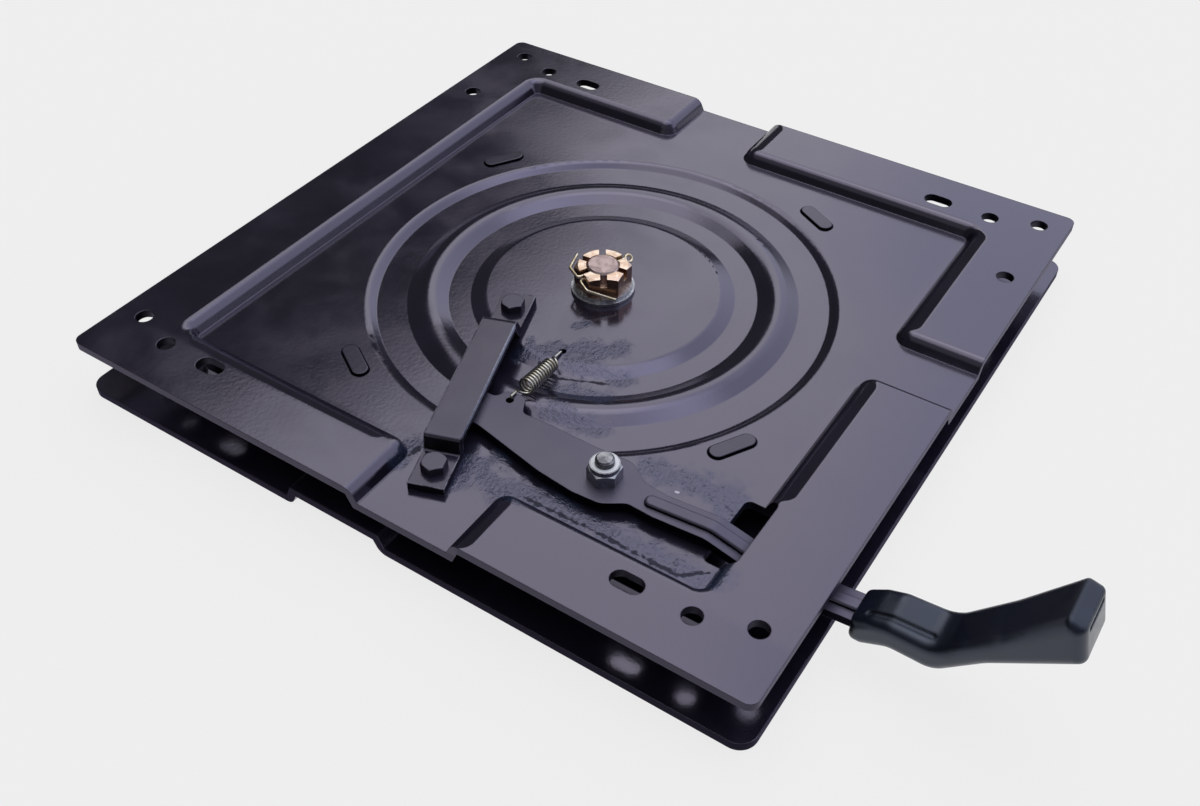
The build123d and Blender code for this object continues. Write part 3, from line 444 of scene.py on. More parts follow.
@dataclass(frozen=True)
class Enamel:
    """Dark stove enamel on steel, with clouds of tone, orange peel, rubbed edges, brushed smears, painted
    shade and highlights.
    """

    name: str
    deep: Colour
    bloom: Colour
    rough: float
    rubbed: float
    matt_shaded_sides: float = 1.0
    leaning: bool = False
    strokes: tuple[Stroke, ...] = ()
    smear_above: float = 0.0
    edge_reach: float = 0.0007
    fleck_and_glint: Colour = linear(190, 190, 196)
    ior: float = 1.66
    sheen_level: float = 0.98
    sheen_tint: Colour = (0.77, 0.715, 0.95, 1.0)
    glossy_by: float = 0.04
    dull_by: float = 0.08
    peel: float = 0.08
    bump_step: float = 0.0006
    # Painted shade: dark colour of upright faces, made metallic so they reflect little
    cut_edge_shade: Colour = linear(12, 12, 16)
    cut_rough: float = 0.62
    bare_edge_and_highlight: Colour = linear(92, 92, 100)
    smear_film_and_sheen: Colour = linear(44, 54, 78)
    smear_dark_and_shade: Colour = linear(8, 9, 14)
    smear_fade: float = 0.0002
    film_share: float = 0.75
    film_dark: float = 0.18
    speck_dark: float = 0.5
    corner_shade_dark: float = 0.75
    corner_shade_rough: float = 0.5
    lug_shadow_dark: float = 0.9
    ridge_mean: float = 1.5
    ridge_height: float = 0.7
    crown_rise: Pair = (0.003, 0.0038)
    crown_lean: float = 0.42

    def material(self, effects: Effects) -> bpy.types.Material:
        """Makes the enamel's material.

        Args:
            effects: shared node groups.

        Returns:
            The material.
        """
        material, graph, shader, place = new_material(self.name)
        skin = graph.group(effects.skin(), Place=place)
        edge = graph.group(effects.rubbed_and_lit_edge(), Place=place, Reach=self.edge_reach)
        normal = edge.outputs["Normal"]
        colour = graph.blend(skin.outputs["Tone"], self.deep, self.bloom)
        glossy, dullest = self.rough - self.glossy_by, self.rough + self.dull_by
        rough = graph.between(skin.outputs["Gloss"], 0.2, 0.9, glossy, dullest)
        height = graph.times(skin.outputs["Peel"], self.peel)
        # Upright faces: matt roughness of thin paint, and painted shade as a dark metallic colour
        shade_and_grease_metallic = graph.group(effects.matt_shaded_face(), Matt=self.matt_shaded_sides).outputs["Mask"]
        colour = graph.blend(shade_and_grease_metallic, colour, self.cut_edge_shade)
        rough = graph.mix(shade_and_grease_metallic, rough, self.cut_rough)
        if self.strokes:
            smear = graph.group(self.smear_group(effects), Place=place)
            normal = graph.vector("NORMALIZE", graph.vector("ADD", normal, smear.outputs["Lean"]))
            film, dark, fleck_and_glint = smear.outputs["Film"], smear.outputs["Dark"], smear.outputs["Fleck"]
            # Grease film: its pale blue colour is partly the grease and partly a painted reflection of the
            # sky
            colour = graph.blend(film, colour, self.smear_film_and_sheen)
            # Dark marks: grease specks, and painted shade in corners and round the pads' lugs
            colour = graph.blend(dark, colour, self.smear_dark_and_shade)
            colour = graph.blend(fleck_and_glint, colour, self.fleck_and_glint)
            rough = graph.mix(dark, graph.mix(film, rough, dullest), self.corner_shade_rough)
            shade_and_grease_metallic = graph.times(graph.most(shade_and_grease_metallic, dark), graph.rest(fleck_and_glint))
            height = graph.plus(height, smear.outputs["Height"])
        # Rubbed edges: worn paint, and where the edge colour is light a painted highlight
        worn = graph.times(edge.outputs["Mask"], self.rubbed)
        colour = graph.blend(worn, colour, self.bare_edge_and_highlight)
        shade_and_grease_metallic = graph.times(shade_and_grease_metallic, graph.rest(worn))
        if self.leaning:
            normal = graph.group(effects.sheet_lean(), Place=place, Normal=normal).outputs["Normal"]
        graph.fill(shader, {
            "Base Color": colour, "Roughness": rough, "Metallic": shade_and_grease_metallic,
            "Normal": graph.bump(height, self.bump_step, normal),
            "IOR": self.ior, "Specular IOR Level": self.sheen_level, "Specular Tint": self.sheen_tint,
        })
        return material

    def smear_group(self, effects: Effects) -> Tree:
        """Group that joins the strokes by what they stand for and breaks them into brush marks.

        Args:
            effects: shared node groups.

        Returns:
            Group with the smear's film, dark marks with painted shade in corners and round lugs, pale marks
            and highlights, height, and the lean of the lands' crowns.
        """
        outputs = {"Film": "Float", "Dark": "Float", "Fleck": "Float", "Height": "Float", "Lean": "Vector"}
        graph, given, out = new_group(self.name + "_smears", {"Place": "Vector"}, outputs)
        place = given["Place"]
        level = graph.axes(place)[2]
        upper = graph.between(level, self.smear_above - self.smear_fade, self.smear_above)
        film, grease, fleck_and_glint, lug_shadow = (
            self.joined(graph, effects, place, mark)
            for mark in (Mark.FILM, Mark.CORNER_SHADE, Mark.FLECK_AND_GLINT, Mark.LUG_SHADOW)
        )
        film = self.ragged(graph, place, film, FILM_TEARS, 2.4, upper)
        grease = self.ragged(graph, place, grease, CORNER_SHADE_TEARS, 4.0, upper)
        fleck_and_glint = self.ragged(graph, place, fleck_and_glint, FLECK_AND_GLINT_TEARS, 1.0, upper)
        # Painted shadow: a dark ring round each pad's lug
        lug_shadow = graph.between(graph.math("ABSOLUTE", lug_shadow), 0.06, 0.17, self.lug_shadow_dark, 0.0)
        bristle = graph.noise(graph.stretched(place, (1.0, 2.2, 1.0), 0.5), BRISTLES, 4.0, 0.5)
        cross = graph.noise(graph.stretched(place, (1.8, 1.0, 1.0), -0.4), CROSS_STROKES, 4.0, 0.5)
        blot = graph.noise(place, BLOTS, 3.0, 0.6)
        speck = graph.most(graph.between(bristle, 0.58, 0.7), graph.between(blot, 0.62, 0.72))
        speck = graph.most(speck, graph.between(cross, 0.6, 0.72))
        dark = graph.times(graph.times(speck, film), self.speck_dark)
        dark = graph.most(dark, graph.times(film, self.film_dark))
        # The corner strokes are painted shade
        dark = graph.most(dark, graph.times(grease, self.corner_shade_dark))
        dark = graph.most(dark, graph.times(lug_shadow, upper))
        ridge = graph.math("SUBTRACT", graph.plus(graph.plus(bristle, cross), blot), self.ridge_mean)
        foot, top = (self.smear_above + rise for rise in self.crown_rise)
        raised = graph.between(level, foot, top, 0.0, self.crown_lean)
        graph.fill(out, {
            "Film": graph.times(film, self.film_share), "Dark": dark, "Fleck": fleck_and_glint,
            "Height": graph.times(graph.times(ridge, film), self.ridge_height),
            "Lean": self.leans(graph, effects, place, raised),
        })
        return graph.tree

    def leans(self, graph: Graph, effects: Effects, place: Socket, raised: Socket) -> Any:
        """Sum of the crowns' leans, each to the left of its stroke's run.

        Args:
            graph: graph of the smear group.
            effects: shared node groups.
            place: socket of the object's own coordinates.
            raised: socket of the lean's size, 0 below the lands.

        Returns:
            Socket or value of the lean.
        """
        total: Any = (0.0, 0.0, 0.0)
        for stroke in self.strokes:
            if stroke.mark is Mark.CROWN:
                (x0, y0), (x1, y1) = stroke.start, stroke.end
                length = math.hypot(x1 - x0, y1 - y0)
                outward = ((y0 - y1) / length, (x1 - x0) / length, 0.0)
                share = graph.between(self.strength(graph, effects, place, stroke), 0.0, 0.3)
                total = graph.vector("ADD", graph.scaled(outward, graph.times(share, raised)), total)
        return total

    def strength(self, graph: Graph, effects: Effects, place: Socket, stroke: Stroke) -> Socket:
        """Plan strength of one stroke.

        Args:
            graph: graph of the smear group.
            effects: shared node groups.
            place: socket of the object's own coordinates.
            stroke: the stroke.

        Returns:
            Socket of the strength.
        """
        (x0, y0), (x1, y1) = stroke.start, stroke.end
        start = (x0 / MM_PER_METRE, y0 / MM_PER_METRE, 0.0)
        run = ((x1 - x0) / MM_PER_METRE, (y1 - y0) / MM_PER_METRE, 0.0)
        radius = stroke.radius / MM_PER_METRE
        made = graph.group(effects.stroke(), Place=place, Start=start, Run=run, Radius=radius)
        return made.outputs["Strength"]

    def joined(self, graph: Graph, effects: Effects, place: Socket, mark: Mark) -> Any:
        """Greatest strength of the strokes of one mark, or a low value where there are none.

        Args:
            graph: graph of the smear group.
            effects: shared node groups.
            place: socket of the object's own coordinates.
            mark: what the strokes stand for.

        Returns:
            Socket or value of the strength.
        """
        strength: Any = NO_STROKE
        for stroke in self.strokes:
            if stroke.mark is mark:
                strength = graph.most(self.strength(graph, effects, place, stroke), strength)
        return strength

    def ragged(
        self, graph: Graph, place: Socket, strength: Any, scale: float, tear: float, upper: Socket,
    ) -> Socket:
        """Mask of a stroke with torn edges, on the upper side only.

        Args:
            graph: graph of the smear group.
            place: socket of the object's own coordinates.
            strength: strength of the strokes.
            scale: features of the tearing per metre.
            tear: how far the tearing reaches.
            upper: socket that is 1 on the upper side.

        Returns:
            Socket of the mask.
        """
        noise = graph.math("SUBTRACT", graph.noise(place, scale, 4.0, 0.4), 0.5)
        reach = graph.plus(strength, graph.times(noise, tear))
        return graph.times(graph.between(reach, -0.1, 0.7), upper)


@dataclass(frozen=True)
class Plated:
    """Plated or bare steel: metal with mottled colour, stains, and turned rings or a thread where asked;
    also painted shade on upright faces and an edge colour.
    """

    name: str
    main: Colour
    mottled: Colour
    stained: Colour
    rough: float
    rim_tone_and_highlight: Colour | None = None
    side_shade: Colour | None = None
    axis: Point | None = None
    ring_pitch: float = 0.0
    thread_pitch: float = 0.0
    metallic: float = 1.0
    edge_reach: float = 0.0003
    stain_share: float = 0.6
    side_shade_share: float = 0.85
    rim_share: float = 0.8
    glossy_by: float = 0.06
    dull_by: float = 0.08
    grain_height: float = 0.2
    ring_height: float = 0.6
    crest_height: float = 5.0
    bump_step: float = 0.0001

    def material(self, effects: Effects) -> bpy.types.Material:
        """Makes the plated metal's material.

        Args:
            effects: shared node groups.

        Returns:
            The material.
        """
        material, graph, shader, place = new_material(self.name)
        plate = graph.group(effects.plating(), Place=place)
        edge = graph.group(effects.rubbed_and_lit_edge(), Place=place, Reach=self.edge_reach)
        mottle = plate.outputs["Mottle"]
        colour = graph.blend(mottle, self.main, self.mottled)
        colour = graph.blend(graph.times(plate.outputs["Stain"], self.stain_share), colour, self.stained)
        # Painted shade: upright faces take the darker side colour
        if self.side_shade:
            side = graph.group(effects.matt_shaded_face(), Matt=self.side_shade_share).outputs["Mask"]
            colour = graph.blend(side, colour, self.side_shade)
        # Edge colour: the nut's orange-gold edges, and on the pin's end a painted highlight
        if self.rim_tone_and_highlight:
            colour = graph.blend(graph.times(edge.outputs["Mask"], self.rim_share), colour, self.rim_tone_and_highlight)
        rough = graph.between(mottle, 0.0, 1.0, self.rough - self.glossy_by, self.rough + self.dull_by)
        height = graph.times(plate.outputs["Grain"], self.grain_height)
        if self.axis and self.ring_pitch:
            rings = graph.group(effects.turned(), Place=place, Axis=self.axis, Pitch=self.ring_pitch)
            height = graph.plus(height, graph.times(rings.outputs["Ring"], self.ring_height))
        if self.axis and self.thread_pitch:
            crest = graph.group(effects.thread(), Place=place, Axis=self.axis, Pitch=self.thread_pitch)
            height = graph.plus(height, graph.times(crest.outputs["Crest"], self.crest_height))
        graph.fill(shader, {
            "Base Color": colour, "Roughness": rough, "Metallic": self.metallic,
            "Normal": graph.bump(height, self.bump_step, edge.outputs["Normal"]),
        })
        return material


@dataclass(frozen=True)
class Moulded:
    """Moulded plastic with grain, flow marks and edges polished by hands."""

    name: str
    main: Colour
    worn: Colour
    rough: float
    grain: float = 0.3
    edge_reach: float = 0.0006
    sheen_level: float = 0.5
    sheen_tint: Colour = (1.0, 1.0, 1.0, 1.0)
    flow_share: float = 0.6
    worn_share: float = 0.5
    gloss_swing: float = 0.05
    bump_step: float = 0.0002

    def material(self, effects: Effects) -> bpy.types.Material:
        """Makes the plastic's material.

        Args:
            effects: shared node groups.

        Returns:
            The material.
        """
        material, graph, shader, place = new_material(self.name)
        body = graph.group(effects.moulded(), Place=place)
        edge = graph.group(effects.rubbed_and_lit_edge(), Place=place, Reach=self.edge_reach)
        flow, grain = body.outputs["Flow"], body.outputs["Grain"]
        colour = graph.blend(graph.times(flow, self.flow_share), self.main, self.worn)
        colour = graph.blend(graph.times(edge.outputs["Mask"], self.worn_share), colour, self.worn)
        dullest, glossy = self.rough + self.gloss_swing, self.rough - self.gloss_swing
        graph.fill(shader, {
            "Base Color": colour, "Roughness": graph.between(flow, 0.0, 1.0, dullest, glossy),
            "Normal": graph.bump(grain, self.bump_step, edge.outputs["Normal"], self.grain),
            "Specular IOR Level": self.sheen_level, "Specular Tint": self.sheen_tint,
        })
        return material


Finish = Enamel | Plated | Moulded


def tube_object(
    name: str, line: np.ndarray, side: np.ndarray, radius: float, sides: int,
) -> bpy.types.Object:
    """Round wire along a line, closed at both ends.

    A point of the surface is the line's point plus the radius times cosine of the angle along the side
    vector and sine of it along the third vector, which is square to the line and to the side vector.

    Args:
        name: name of the object.
        line: points of the centre line, one a row.
        side: for each point a vector that is never along the line.
        radius: wire radius.
        sides: points round the wire.

    Returns:
        The mesh object, linked to the scene.
    """
    along = np.gradient(line, axis=0)
    along /= np.linalg.norm(along, axis=1, keepdims=True)
    across = side - (side * along).sum(axis=1, keepdims=True) * along
    across /= np.linalg.norm(across, axis=1, keepdims=True)
    third = np.cross(along, across)
    angle = np.linspace(0.0, math.tau, sides, endpoint=False)[None, :, None]
    grid = line[:, None] + radius * (np.cos(angle) * across[:, None] + np.sin(angle) * third[:, None])
    rows = len(line)
    index = np.arange(rows * sides).reshape(rows, sides)
    ahead = np.roll(index, -1, axis=1)
    quads = np.stack((index[:-1], ahead[:-1], ahead[1:], index[1:]), axis=-1).reshape(-1, 4)
    faces = quads.tolist() + [index[0, ::-1].tolist(), index[-1].tolist()]
    return mesh_object(name, grid.reshape(-1, 3), faces)


def mesh_object(name: str, points: np.ndarray, faces: list[list[int]]) -> bpy.types.Object:
    """Puts points and faces into a smooth mesh object at the origin.

    Args:
        name: name of the object.
        points: points, one a row, in metres.
        faces: point numbers of each face.

    Returns:
        The object, linked to the scene.
    """
    mesh = bpy.data.meshes.new(name)
    mesh.from_pydata(points.tolist(), [], faces)
    mesh.shade_smooth()
    mesh.update()
    made = bpy.data.objects.new(name, mesh)
    bpy.context.scene.collection.objects.link(made)
    return made


def dress(obj: bpy.types.Object, material: bpy.types.Material) -> None:
    """Gives an object one material in place of what it came with."""
    obj.data.materials.clear()
    obj.data.materials.append(material)


def dress_nodes(finishes: dict[str, Finish], effects: Effects) -> list[bpy.types.Object]:
    """Gives nodes of the CAD their finishes, with one material for each finish.

    Args:
        finishes: finish of each node, by the node's name.
        effects: shared node groups.

    Returns:
        The dressed objects.
    """
    materials = {finish.name: finish.material(effects) for finish in dict.fromkeys(finishes.values())}
    for node, finish in finishes.items():
        dress(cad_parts[node], materials[finish.name])
    return [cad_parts[node] for node in finishes]


@dataclass
class Plates:
    """The two pressings, the strap, the lever, the pads' lugs and the painted bolts, all in dark enamel."""

    panel_under: float = 0.02094
    smear_rise: float = 0.0009
    strap_top: float = 0.0345
    pad_out: tuple[float, ...] = (125.0, 126.5, 124.4, 121.3)
    pad_angle: tuple[float, ...] = (61.0, 149.0, 239.0, 330.0)
    pad_long: float = 22.5
    pad_wide: float = 8.2
    enamel_deep: Colour = linear(25, 24, 34)
    enamel_bloom: Colour = linear(34, 31, 44)

    def smears(self) -> tuple[Stroke, ...]:
        """Strokes of the brushed smears on the upper plate, round the spring, the lever and the strap; the
        dark corner strokes are painted shade.
        """
        return (
            Stroke((-3.2, -57.6), (32.7, -33.9), 8.0),
            Stroke((13.8, -56.3), (43.4, -48.1), 6.5),
            Stroke((22.6, -69.0), (42.4, -63.6), 7.0),
            Stroke((27.4, -85.0), (50.6, -80.8), 7.0),
            Stroke((18.5, -128.5), (48.3, -134.2), 9.0),
            Stroke((45.7, -130.7), (135.2, -128.5), 9.0),
            Stroke((20.3, -140.8), (26.4, -118.3), 6.0),
            Stroke((83.2, -91.1), (120.0, -85.5), 10.0),
            Stroke((112.2, -107.9), (123.7, -92.1), 8.0),
            Stroke((-5.0, -146.7), (-7.1, -129.9), 5.0),
            Stroke((5.1, -32.4), (9.7, -26.0), 2.6),
            # Painted shade along the front wall's foot and at ring edges round the spring
            Stroke((49.0, -132.0), (86.4, -131.4), 1.1, Mark.CORNER_SHADE),
            Stroke((86.4, -131.4), (121.2, -132.4), 1.3, Mark.CORNER_SHADE),
            Stroke((121.2, -132.4), (130.2, -125.0), 1.2, Mark.CORNER_SHADE),
            Stroke((6.2, -60.7), (17.5, -63.8), 1.1, Mark.CORNER_SHADE),
            Stroke((17.5, -63.8), (38.9, -54.3), 0.9, Mark.CORNER_SHADE),
            Stroke((18.1, -71.9), (23.8, -75.6), 2.0, Mark.CORNER_SHADE),
            Stroke((21.2, -94.1), (29.6, -94.0), 1.6, Mark.CORNER_SHADE),
            Stroke((-4.6, -132.3), (-4.8, -139.0), 1.6, Mark.CORNER_SHADE),
            Stroke((98.6, -95.6), (99.4, -95.5), 0.8, Mark.FLECK_AND_GLINT),
        )

    def crowns(self) -> tuple[Stroke, ...]:
        """Inner edges of the lands in plan, with the panel to their left, whose crowns lean wide."""
        return (
            Stroke((-126.0, -138.0), (-22.0, -138.0), 7.0, Mark.CROWN),
            Stroke((3.3, 145.0), (3.3, 166.0), 7.6, Mark.CROWN),
            Stroke((136.0, 50.0), (136.0, 130.0), 7.6, Mark.CROWN),
            Stroke((43.6, -166.0), (43.6, -144.0), 7.6, Mark.CROWN),
            Stroke((136.0, -76.0), (136.0, -2.0), 7.6, Mark.CROWN),
        )

    def lug_shadows(self) -> tuple[Stroke, ...]:
        """Outlines of the pads' lugs, painted dark as the shadow in the gap round each: a line along each
        lug, with the lug's half width as radius.

        Returns:
            One stroke for each lug.
        """
        half = (self.pad_long - self.pad_wide) / 2.0
        strokes = []
        for out, angle in zip(self.pad_out, self.pad_angle):
            along = np.array((-math.sin(math.radians(angle)), math.cos(math.radians(angle))))
            middle = out * np.array((along[1], -along[0]))
            start, end = tuple((middle - half * along).tolist()), tuple((middle + half * along).tolist())
            strokes.append(Stroke(start, end, self.pad_wide / 2.0, Mark.LUG_SHADOW))
        return tuple(strokes)

    def build(self, effects: Effects) -> list[bpy.types.Object]:
        """Gives the painted pieces their enamel.

        Args:
            effects: shared node groups.

        Returns:
            The painted pieces.
        """
        tones = self.enamel_deep, self.enamel_bloom
        panel = self.panel_under + self.smear_rise
        top = Enamel(
            "upper_plate_enamel", *tones, rough=0.14, rubbed=0.08, matt_shaded_sides=0.62, leaning=True,
            strokes=self.smears() + self.crowns() + self.lug_shadows(), smear_above=panel,
        )
        low = Enamel("lower_plate_enamel", *tones, rough=0.14, rubbed=0.08, matt_shaded_sides=0.95)
        # Painted highlights: the strap's light edge colour, strong rubbing and the pale stroke along its
        # right edge
        strap = Enamel(
            "strap_enamel", *tones, rough=0.2, rubbed=2.4, matt_shaded_sides=0.8, edge_reach=0.0009,
            strokes=(Stroke((-9.7, -57.5), (14.7, -126.8), 0.8, Mark.FLECK_AND_GLINT),), smear_above=self.strap_top,
            fleck_and_glint=linear(150, 156, 174), sheen_level=0.64, bare_edge_and_highlight=linear(160, 160, 172),
        )
        lever = Enamel("lever_enamel", linear(34, 32, 41), linear(44, 43, 55), rough=0.42, rubbed=0.5)
        black = Enamel(
            "black_bolt_finish", linear(22, 21, 26), linear(30, 30, 37), rough=0.36, rubbed=0.5,
            matt_shaded_sides=0.3,
        )
        pad = Enamel(
            "pad_overspray", *tones, rough=0.2, rubbed=0.1, leaning=True,
            strokes=self.lug_shadows(), smear_above=panel, sheen_level=0.6,
        )
        finishes = {
            "upper_plate": top, "lower_plate": low, "lock_ring": low, "hold_down_strap": strap,
            "lock_lever": lever, "strap_bolts": black, "strap_nuts": black,
        }
        finishes |= {f"glide_pad_{number}": pad for number in range(1, 5)}
        return dress_nodes(finishes, effects)


@dataclass
class Fasteners:
    """King pin with its nut, washers and split pin, the ball race, and the lever's pivot bolt and nut."""

    pivot: Point = (0.0727, -0.109, 0.0)
    king: Point = (0.0, 0.0, 0.0)
    pivot_thread: float = 0.00125
    washer_rings: float = 0.0004

    def build(self, effects: Effects) -> list[bpy.types.Object]:
        """Gives each fastener its plating, and the nylon pieces their plastic.

        Args:
            effects: shared node groups.

        Returns:
            The dressed pieces.
        """
        zinc = Plated("zinc", linear(178, 180, 186), linear(146, 148, 156), linear(96, 97, 104), rough=0.26)
        washer = Plated(
            "zinc_washer_face", linear(186, 187, 192), linear(160, 161, 167), linear(122, 121, 127),
            rough=0.3, axis=self.king, ring_pitch=self.washer_rings,
        )
        # The nut's brown side colour is painted shade on its upright faces
        gold = Plated(
            "yellow_passivate", linear(236, 214, 198), linear(226, 196, 172), linear(242, 228, 216),
            rough=0.3, rim_tone_and_highlight=linear(206, 150, 84), side_shade=linear(132, 94, 74),
        )
        # Painted highlight: the light colour along the pin end's chamfered edge
        pin = Plated(
            "pin_end_steel", linear(190, 170, 168), linear(172, 152, 150), linear(138, 118, 118),
            rough=0.4, rim_tone_and_highlight=linear(224, 208, 200),
        )
        wire = Plated(
            "split_pin_wire", linear(228, 218, 196), linear(206, 190, 158), linear(176, 152, 116),
            rough=0.26,
        )
        # The bolt's darker side colour is painted shade on its upright faces
        stud = Plated(
            "pivot_bolt_zinc", linear(150, 150, 156), linear(120, 120, 126), linear(84, 84, 90),
            rough=0.34, side_shade=linear(70, 70, 76), axis=self.pivot, thread_pitch=self.pivot_thread,
        )
        balls = Plated(
            "ball_steel", linear(190, 190, 194), linear(176, 176, 182), linear(150, 150, 154), rough=0.14,
        )
        insert = Moulded("insert_nylon", linear(240, 241, 244), linear(228, 230, 236), rough=0.3, grain=0.1)
        cage = Moulded("cage_nylon", linear(54, 54, 56), linear(64, 64, 66), rough=0.5)
        return dress_nodes({
            "king_pin": pin, "king_washer_lower": washer, "king_washer_upper": washer, "castle_nut": gold,
            "split_pin": wire, "pivot_bolt": stud, "pivot_washer": zinc, "lock_nut": zinc,
            "bearing_balls": balls, "lock_nut_insert": insert, "ball_cage": cage,
        }, effects)


@dataclass
class Grip:
    """Black moulded grip on the end of the lever."""

    finish: Moulded = Moulded(
        "grip_plastic_black", linear(15, 18, 28), linear(28, 33, 48), rough=0.22, grain=0.1,
        edge_reach=0.0022, sheen_level=0.75, sheen_tint=(0.7, 0.78, 1.0, 1.0),
    )

    def build(self, effects: Effects) -> list[bpy.types.Object]:
        """Gives the grip its satin plastic."""
        return dress_nodes({"grip": self.finish}, effects)


@dataclass
class ReturnSpring:
    """Extension spring of round wire from the lever's hook hole to the anchor hole in the disc."""

    hook: Point = (0.013719, -0.092773, 0.032160)
    anchor: Point = (0.010681, -0.050627, 0.025838)
    coil_radius: float = 0.00335
    coil_taper: Pair = (1.06, 0.9)
    aside: float = 0.0016
    lead: float = 0.0098
    wire_radius: float = 0.0006
    wire_sides: int = 10
    coils: int = 11
    turn_points: int = 24
    pitch: float = 0.00195
    bend: float = 0.0009
    bend_points: int = 9
    leg_points: int = 5
    axis_points: int = 7
    taper_turns: float = 0.5
    taper_power: float = 1.3
    hook_leg: float = 0.0055
    anchor_leg: float = 0.0049
    finish: Plated = Plated(
        "spring_zinc", linear(206, 203, 194), linear(170, 164, 148), linear(228, 226, 220), rough=0.25,
    )

    def line(self) -> tuple[np.ndarray, np.ndarray]:
        """Centre line of the wire and the side vector that carries its round section.

        The coil is a helix round a line a little aside of the one from hook to anchor. Over half a turn at
        each end its radius and the shift shrink to nothing by a smooth step, so the wire runs on along the
        axis, and an arc then turns it straight down.

        Returns:
            Points of the line and a side vector for each.
        """
        start, end = np.array(self.hook), np.array(self.anchor)
        span = float(np.linalg.norm(end - start))
        axis = (end - start) / span
        up = np.array((0.0, 0.0, 1.0)) - axis[2] * axis
        up /= np.linalg.norm(up)
        flat = np.cross(axis, up)
        taper = 2.0 * self.coil_radius
        first = self.lead - taper
        turns = np.concatenate((
            np.linspace(-self.taper_turns, 0.0, self.turn_points, endpoint=False),
            np.linspace(0.0, self.coils, self.coils * self.turn_points, endpoint=False),
            np.linspace(self.coils, self.coils + self.taper_turns, self.turn_points + 1),
        ))
        before = np.clip(-turns / self.taper_turns, 0.0, 1.0)
        after = np.clip((turns - self.coils) / self.taper_turns, 0.0, 1.0)
        away = np.maximum(before, after)
        full = (1.0 - away * away * (3.0 - 2.0 * away))[:, None]
        ends = taper * (after ** self.taper_power - before ** self.taper_power)
        run = first + taper + np.clip(turns, 0.0, self.coils) * self.pitch + ends
        angle = math.tau * turns[:, None]
        radial = np.cos(angle) * flat + np.sin(angle) * up
        radius = self.coil_radius * np.interp(turns, (0.0, self.coils), self.coil_taper)[:, None]
        coil = start + run[:, None] * axis + full * (radius * radial + self.aside * flat)
        lead_in = self.hook_line(start, axis, self.hook_leg, first)
        lead_out = self.hook_line(end, -axis, self.anchor_leg, span - float(run[-1]))[::-1]
        points = np.concatenate((lead_in, coil[1:-1], lead_out))
        side_in = np.repeat(radial[:1], len(lead_in), axis=0)
        side_out = np.repeat(radial[-1:], len(lead_out), axis=0)
        return points, np.concatenate((side_in, radial[1:-1], side_out))

    def hook_line(self, corner: np.ndarray, inward: np.ndarray, leg: float, reach: float) -> np.ndarray:
        """Hook at one end: straight up from the hole, round an arc at the corner, then along the axis.

        The arc is a curve of the second degree that leaves the leg and joins the axis at the bend's length
        from the corner.

        Args:
            corner: where the leg and the axis would meet.
            inward: direction from the corner along the spring.
            leg: length of the leg below the corner.
            reach: length along the axis to the start of the coil.

        Returns:
            Points from the foot of the leg to the coil.
        """
        down = np.array((0.0, 0.0, -1.0))
        share = np.linspace(0.0, 1.0, self.bend_points)[:, None]
        into = corner + self.bend * down
        onto = corner + self.bend * inward
        arc = (1.0 - share) ** 2 * into + 2.0 * share * (1.0 - share) * corner + share ** 2 * onto
        foot = corner + leg * down
        low = foot + np.linspace(0.0, 1.0, self.leg_points)[:-1, None] * (into - foot)
        run = corner + reach * inward - onto
        far = onto + np.linspace(0.0, 1.0, self.axis_points)[1:, None] * run
        return np.concatenate((low, arc, far))

    def build(self, effects: Effects) -> list[bpy.types.Object]:
        """Makes the spring, which runs from the plate to the lever, and hides the CAD's spring.

        Args:
            effects: shared node groups.

        Returns:
            The spring's object, alone in a list.
        """
        points, side = self.line()
        spring = tube_object("return_spring_wire", points, side, self.wire_radius, self.wire_sides)
        dress(spring, self.finish.material(effects))
        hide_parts("return_spring")
        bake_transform(spring)
        return [spring]


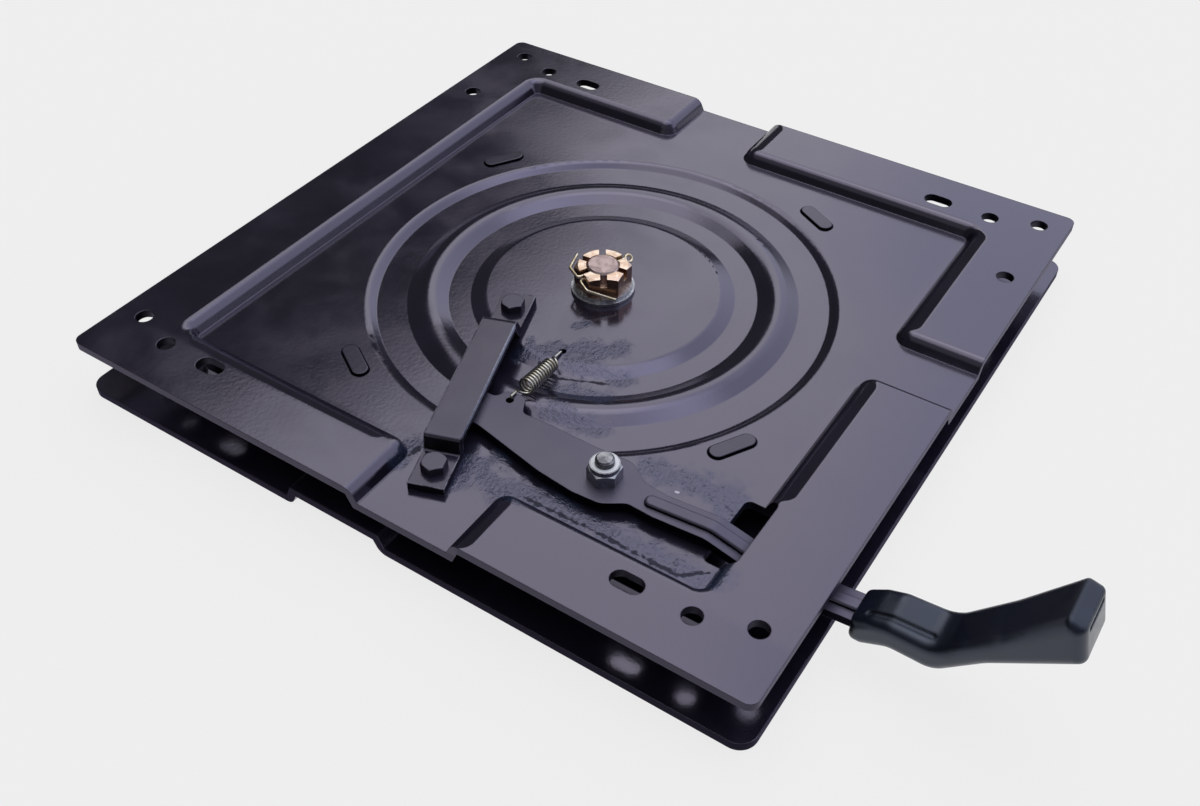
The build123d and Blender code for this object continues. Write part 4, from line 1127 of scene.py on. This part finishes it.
@dataclass
class Studio:
    """Pale floor, a soft sky for light and the camera at the viewing angle of the photograph."""

    eye: Point = (0.26012, -0.39602, 0.39435)
    target: Point = (0.04763, -0.07462, 0.03144)
    lens: float = 37.047
    sensor: float = 36.0
    near: float = 0.01
    pale: Colour = linear(240, 240, 240)
    pale_level: float = 0.9
    floor_tone: Colour = linear(188, 188, 188)
    floor_rough: float = 0.9
    shadow_tone: Colour = linear(88, 88, 88)
    floor_radius: float = 5.0
    floor_rings: int = 8
    floor_sides: int = 64
    floor_drop: float = 0.0003
    left_cut: Point = (0.743, 0.051, 0.667)
    left_band: Pair = (0.005, 0.08)
    bright_way: Point = (-0.367, 0.721, 0.588)
    bright_band: Pair = (0.8, 1.0)
    right_cut: Point = (0.956, 0.292, 0.0)
    right_band: Pair = (-0.09, 0.08)
    low_band: Pair = (-0.02, 0.36)
    front_band: Pair = (-0.15, 0.3)
    zenith_band: Pair = (0.84, 0.94)
    sky_tint: Colour = (1.0, 1.0, 1.0, 1.0)
    right_tint: Colour = (0.74, 0.77, 0.89, 1.0)
    sky_level: float = 1.25
    bright_level: float = 0.3
    front_level: float = 0.15
    zenith_level: float = 1.2
    dark_level: float = 0.05

    def build(self) -> None:
        """Makes the floor, the sky and the camera."""
        self.floor()
        self.world()
        self.camera()

    def floor(self) -> None:
        """Round pale floor: rings of points by radius and angle, with a shader that keeps a soft shadow."""
        radius = np.linspace(0.0, 1.0, self.floor_rings + 1)[1:] ** 2 * self.floor_radius
        angle = np.linspace(0.0, math.tau, self.floor_sides, endpoint=False)
        level = np.full((len(radius), len(angle)), -self.floor_drop)
        plan = np.outer(radius, np.cos(angle)), np.outer(radius, np.sin(angle))
        grid = np.stack((*plan, level), axis=-1)
        index = np.arange(level.size).reshape(level.shape)
        ahead = np.roll(index, -1, axis=1)
        quads = np.stack((index[:-1], index[1:], ahead[1:], ahead[:-1]), axis=-1).reshape(-1, 4)
        floor = mesh_object("studio_floor", grid.reshape(-1, 3), quads.tolist() + [index[0].tolist()])
        material, graph, shader, _ = new_material("pale_floor")
        plain = {"Base Color": self.floor_tone, "Roughness": self.floor_rough, "Specular IOR Level": 0.0}
        graph.fill(shader, plain)
        glow = graph.add("ShaderNodeEmission", {"Color": self.pale, "Strength": self.pale_level})
        matt = graph.add("ShaderNodeBsdfDiffuse", {"Color": self.shadow_tone})
        lit = graph.add("ShaderNodeAddShader", {0: glow.outputs[0], 1: matt.outputs[0]})
        rays = graph.add("ShaderNodeLightPath")
        seen = graph.most(rays.outputs["Is Camera Ray"], rays.outputs["Is Glossy Ray"])
        seen = graph.most(seen, rays.outputs["Is Transmission Ray"])
        choice = graph.add("ShaderNodeMixShader", {0: seen, 1: shader.outputs[0], 2: lit.outputs[0]})
        graph.fill(graph.tree.nodes["Material Output"], {"Surface": choice.outputs[0]})
        dress(floor, material)

    def world(self) -> None:
        """Pale for the camera; for other rays a soft sky that is dark low down, in front and on the left."""
        world = bpy.data.worlds.new("studio_sky")
        world.use_nodes = True
        bpy.context.scene.world = world
        graph = Graph(world.node_tree)
        way = graph.add("ShaderNodeTexCoord").outputs["Generated"]
        _, along, height = graph.axes(way)
        clear = graph.between(graph.measure("DOT_PRODUCT", way, self.left_cut), *self.left_band)
        rise = graph.between(height, *self.low_band)
        bright = graph.between(graph.measure("DOT_PRODUCT", way, self.bright_way), *self.bright_band)
        glow = graph.plus(self.sky_level, graph.times(bright, self.bright_level))
        level = graph.times(graph.times(clear, rise), glow)
        level = graph.times(level, graph.between(along, *self.front_band, self.front_level, 1.0))
        zenith = graph.times(graph.between(height, *self.zenith_band), self.zenith_level)
        level = graph.plus(graph.plus(level, zenith), self.dark_level)
        right = graph.between(graph.measure("DOT_PRODUCT", way, self.right_cut), *self.right_band)
        sky = graph.blend(right, self.sky_tint, self.right_tint)
        seen = graph.add("ShaderNodeLightPath").outputs["Is Camera Ray"]
        colour, strength = graph.blend(seen, sky, self.pale), graph.mix(seen, level, 1.0)
        graph.fill(graph.tree.nodes["Background"], {"Color": colour, "Strength": strength})

    def camera(self) -> None:
        """Camera where the photograph was taken from, with its angle of view."""
        data = bpy.data.cameras.new("photo_camera")
        data.lens = self.lens
        data.sensor_width = self.sensor
        data.clip_start = self.near
        made = bpy.data.objects.new("photo_camera", data)
        made.location = self.eye
        view = Vector(self.target) - Vector(self.eye)
        made.rotation_euler = view.to_track_quat("-Z", "Y").to_euler()
        bpy.context.scene.collection.objects.link(made)
        bpy.context.scene.camera = made
        bpy.context.scene.view_settings.view_transform = "Standard"


def write_sizes() -> None:
    """Updates the view layer."""
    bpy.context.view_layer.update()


def main() -> None:
    """Builds the studio and every sub-assembly in order, and reports each piece."""
    logging.basicConfig(level=logging.INFO, format="%(name)s: %(message)s")
    effects = Effects()
    Studio().build()
    for assembly in (Plates(), Fasteners(), Grip(), ReturnSpring()):
        for piece in assembly.build(effects):
            LOG.info("%s is dressed in %s", piece.name, piece.data.materials[0].name)
    write_sizes()


if __name__ == "__main__":
    main()
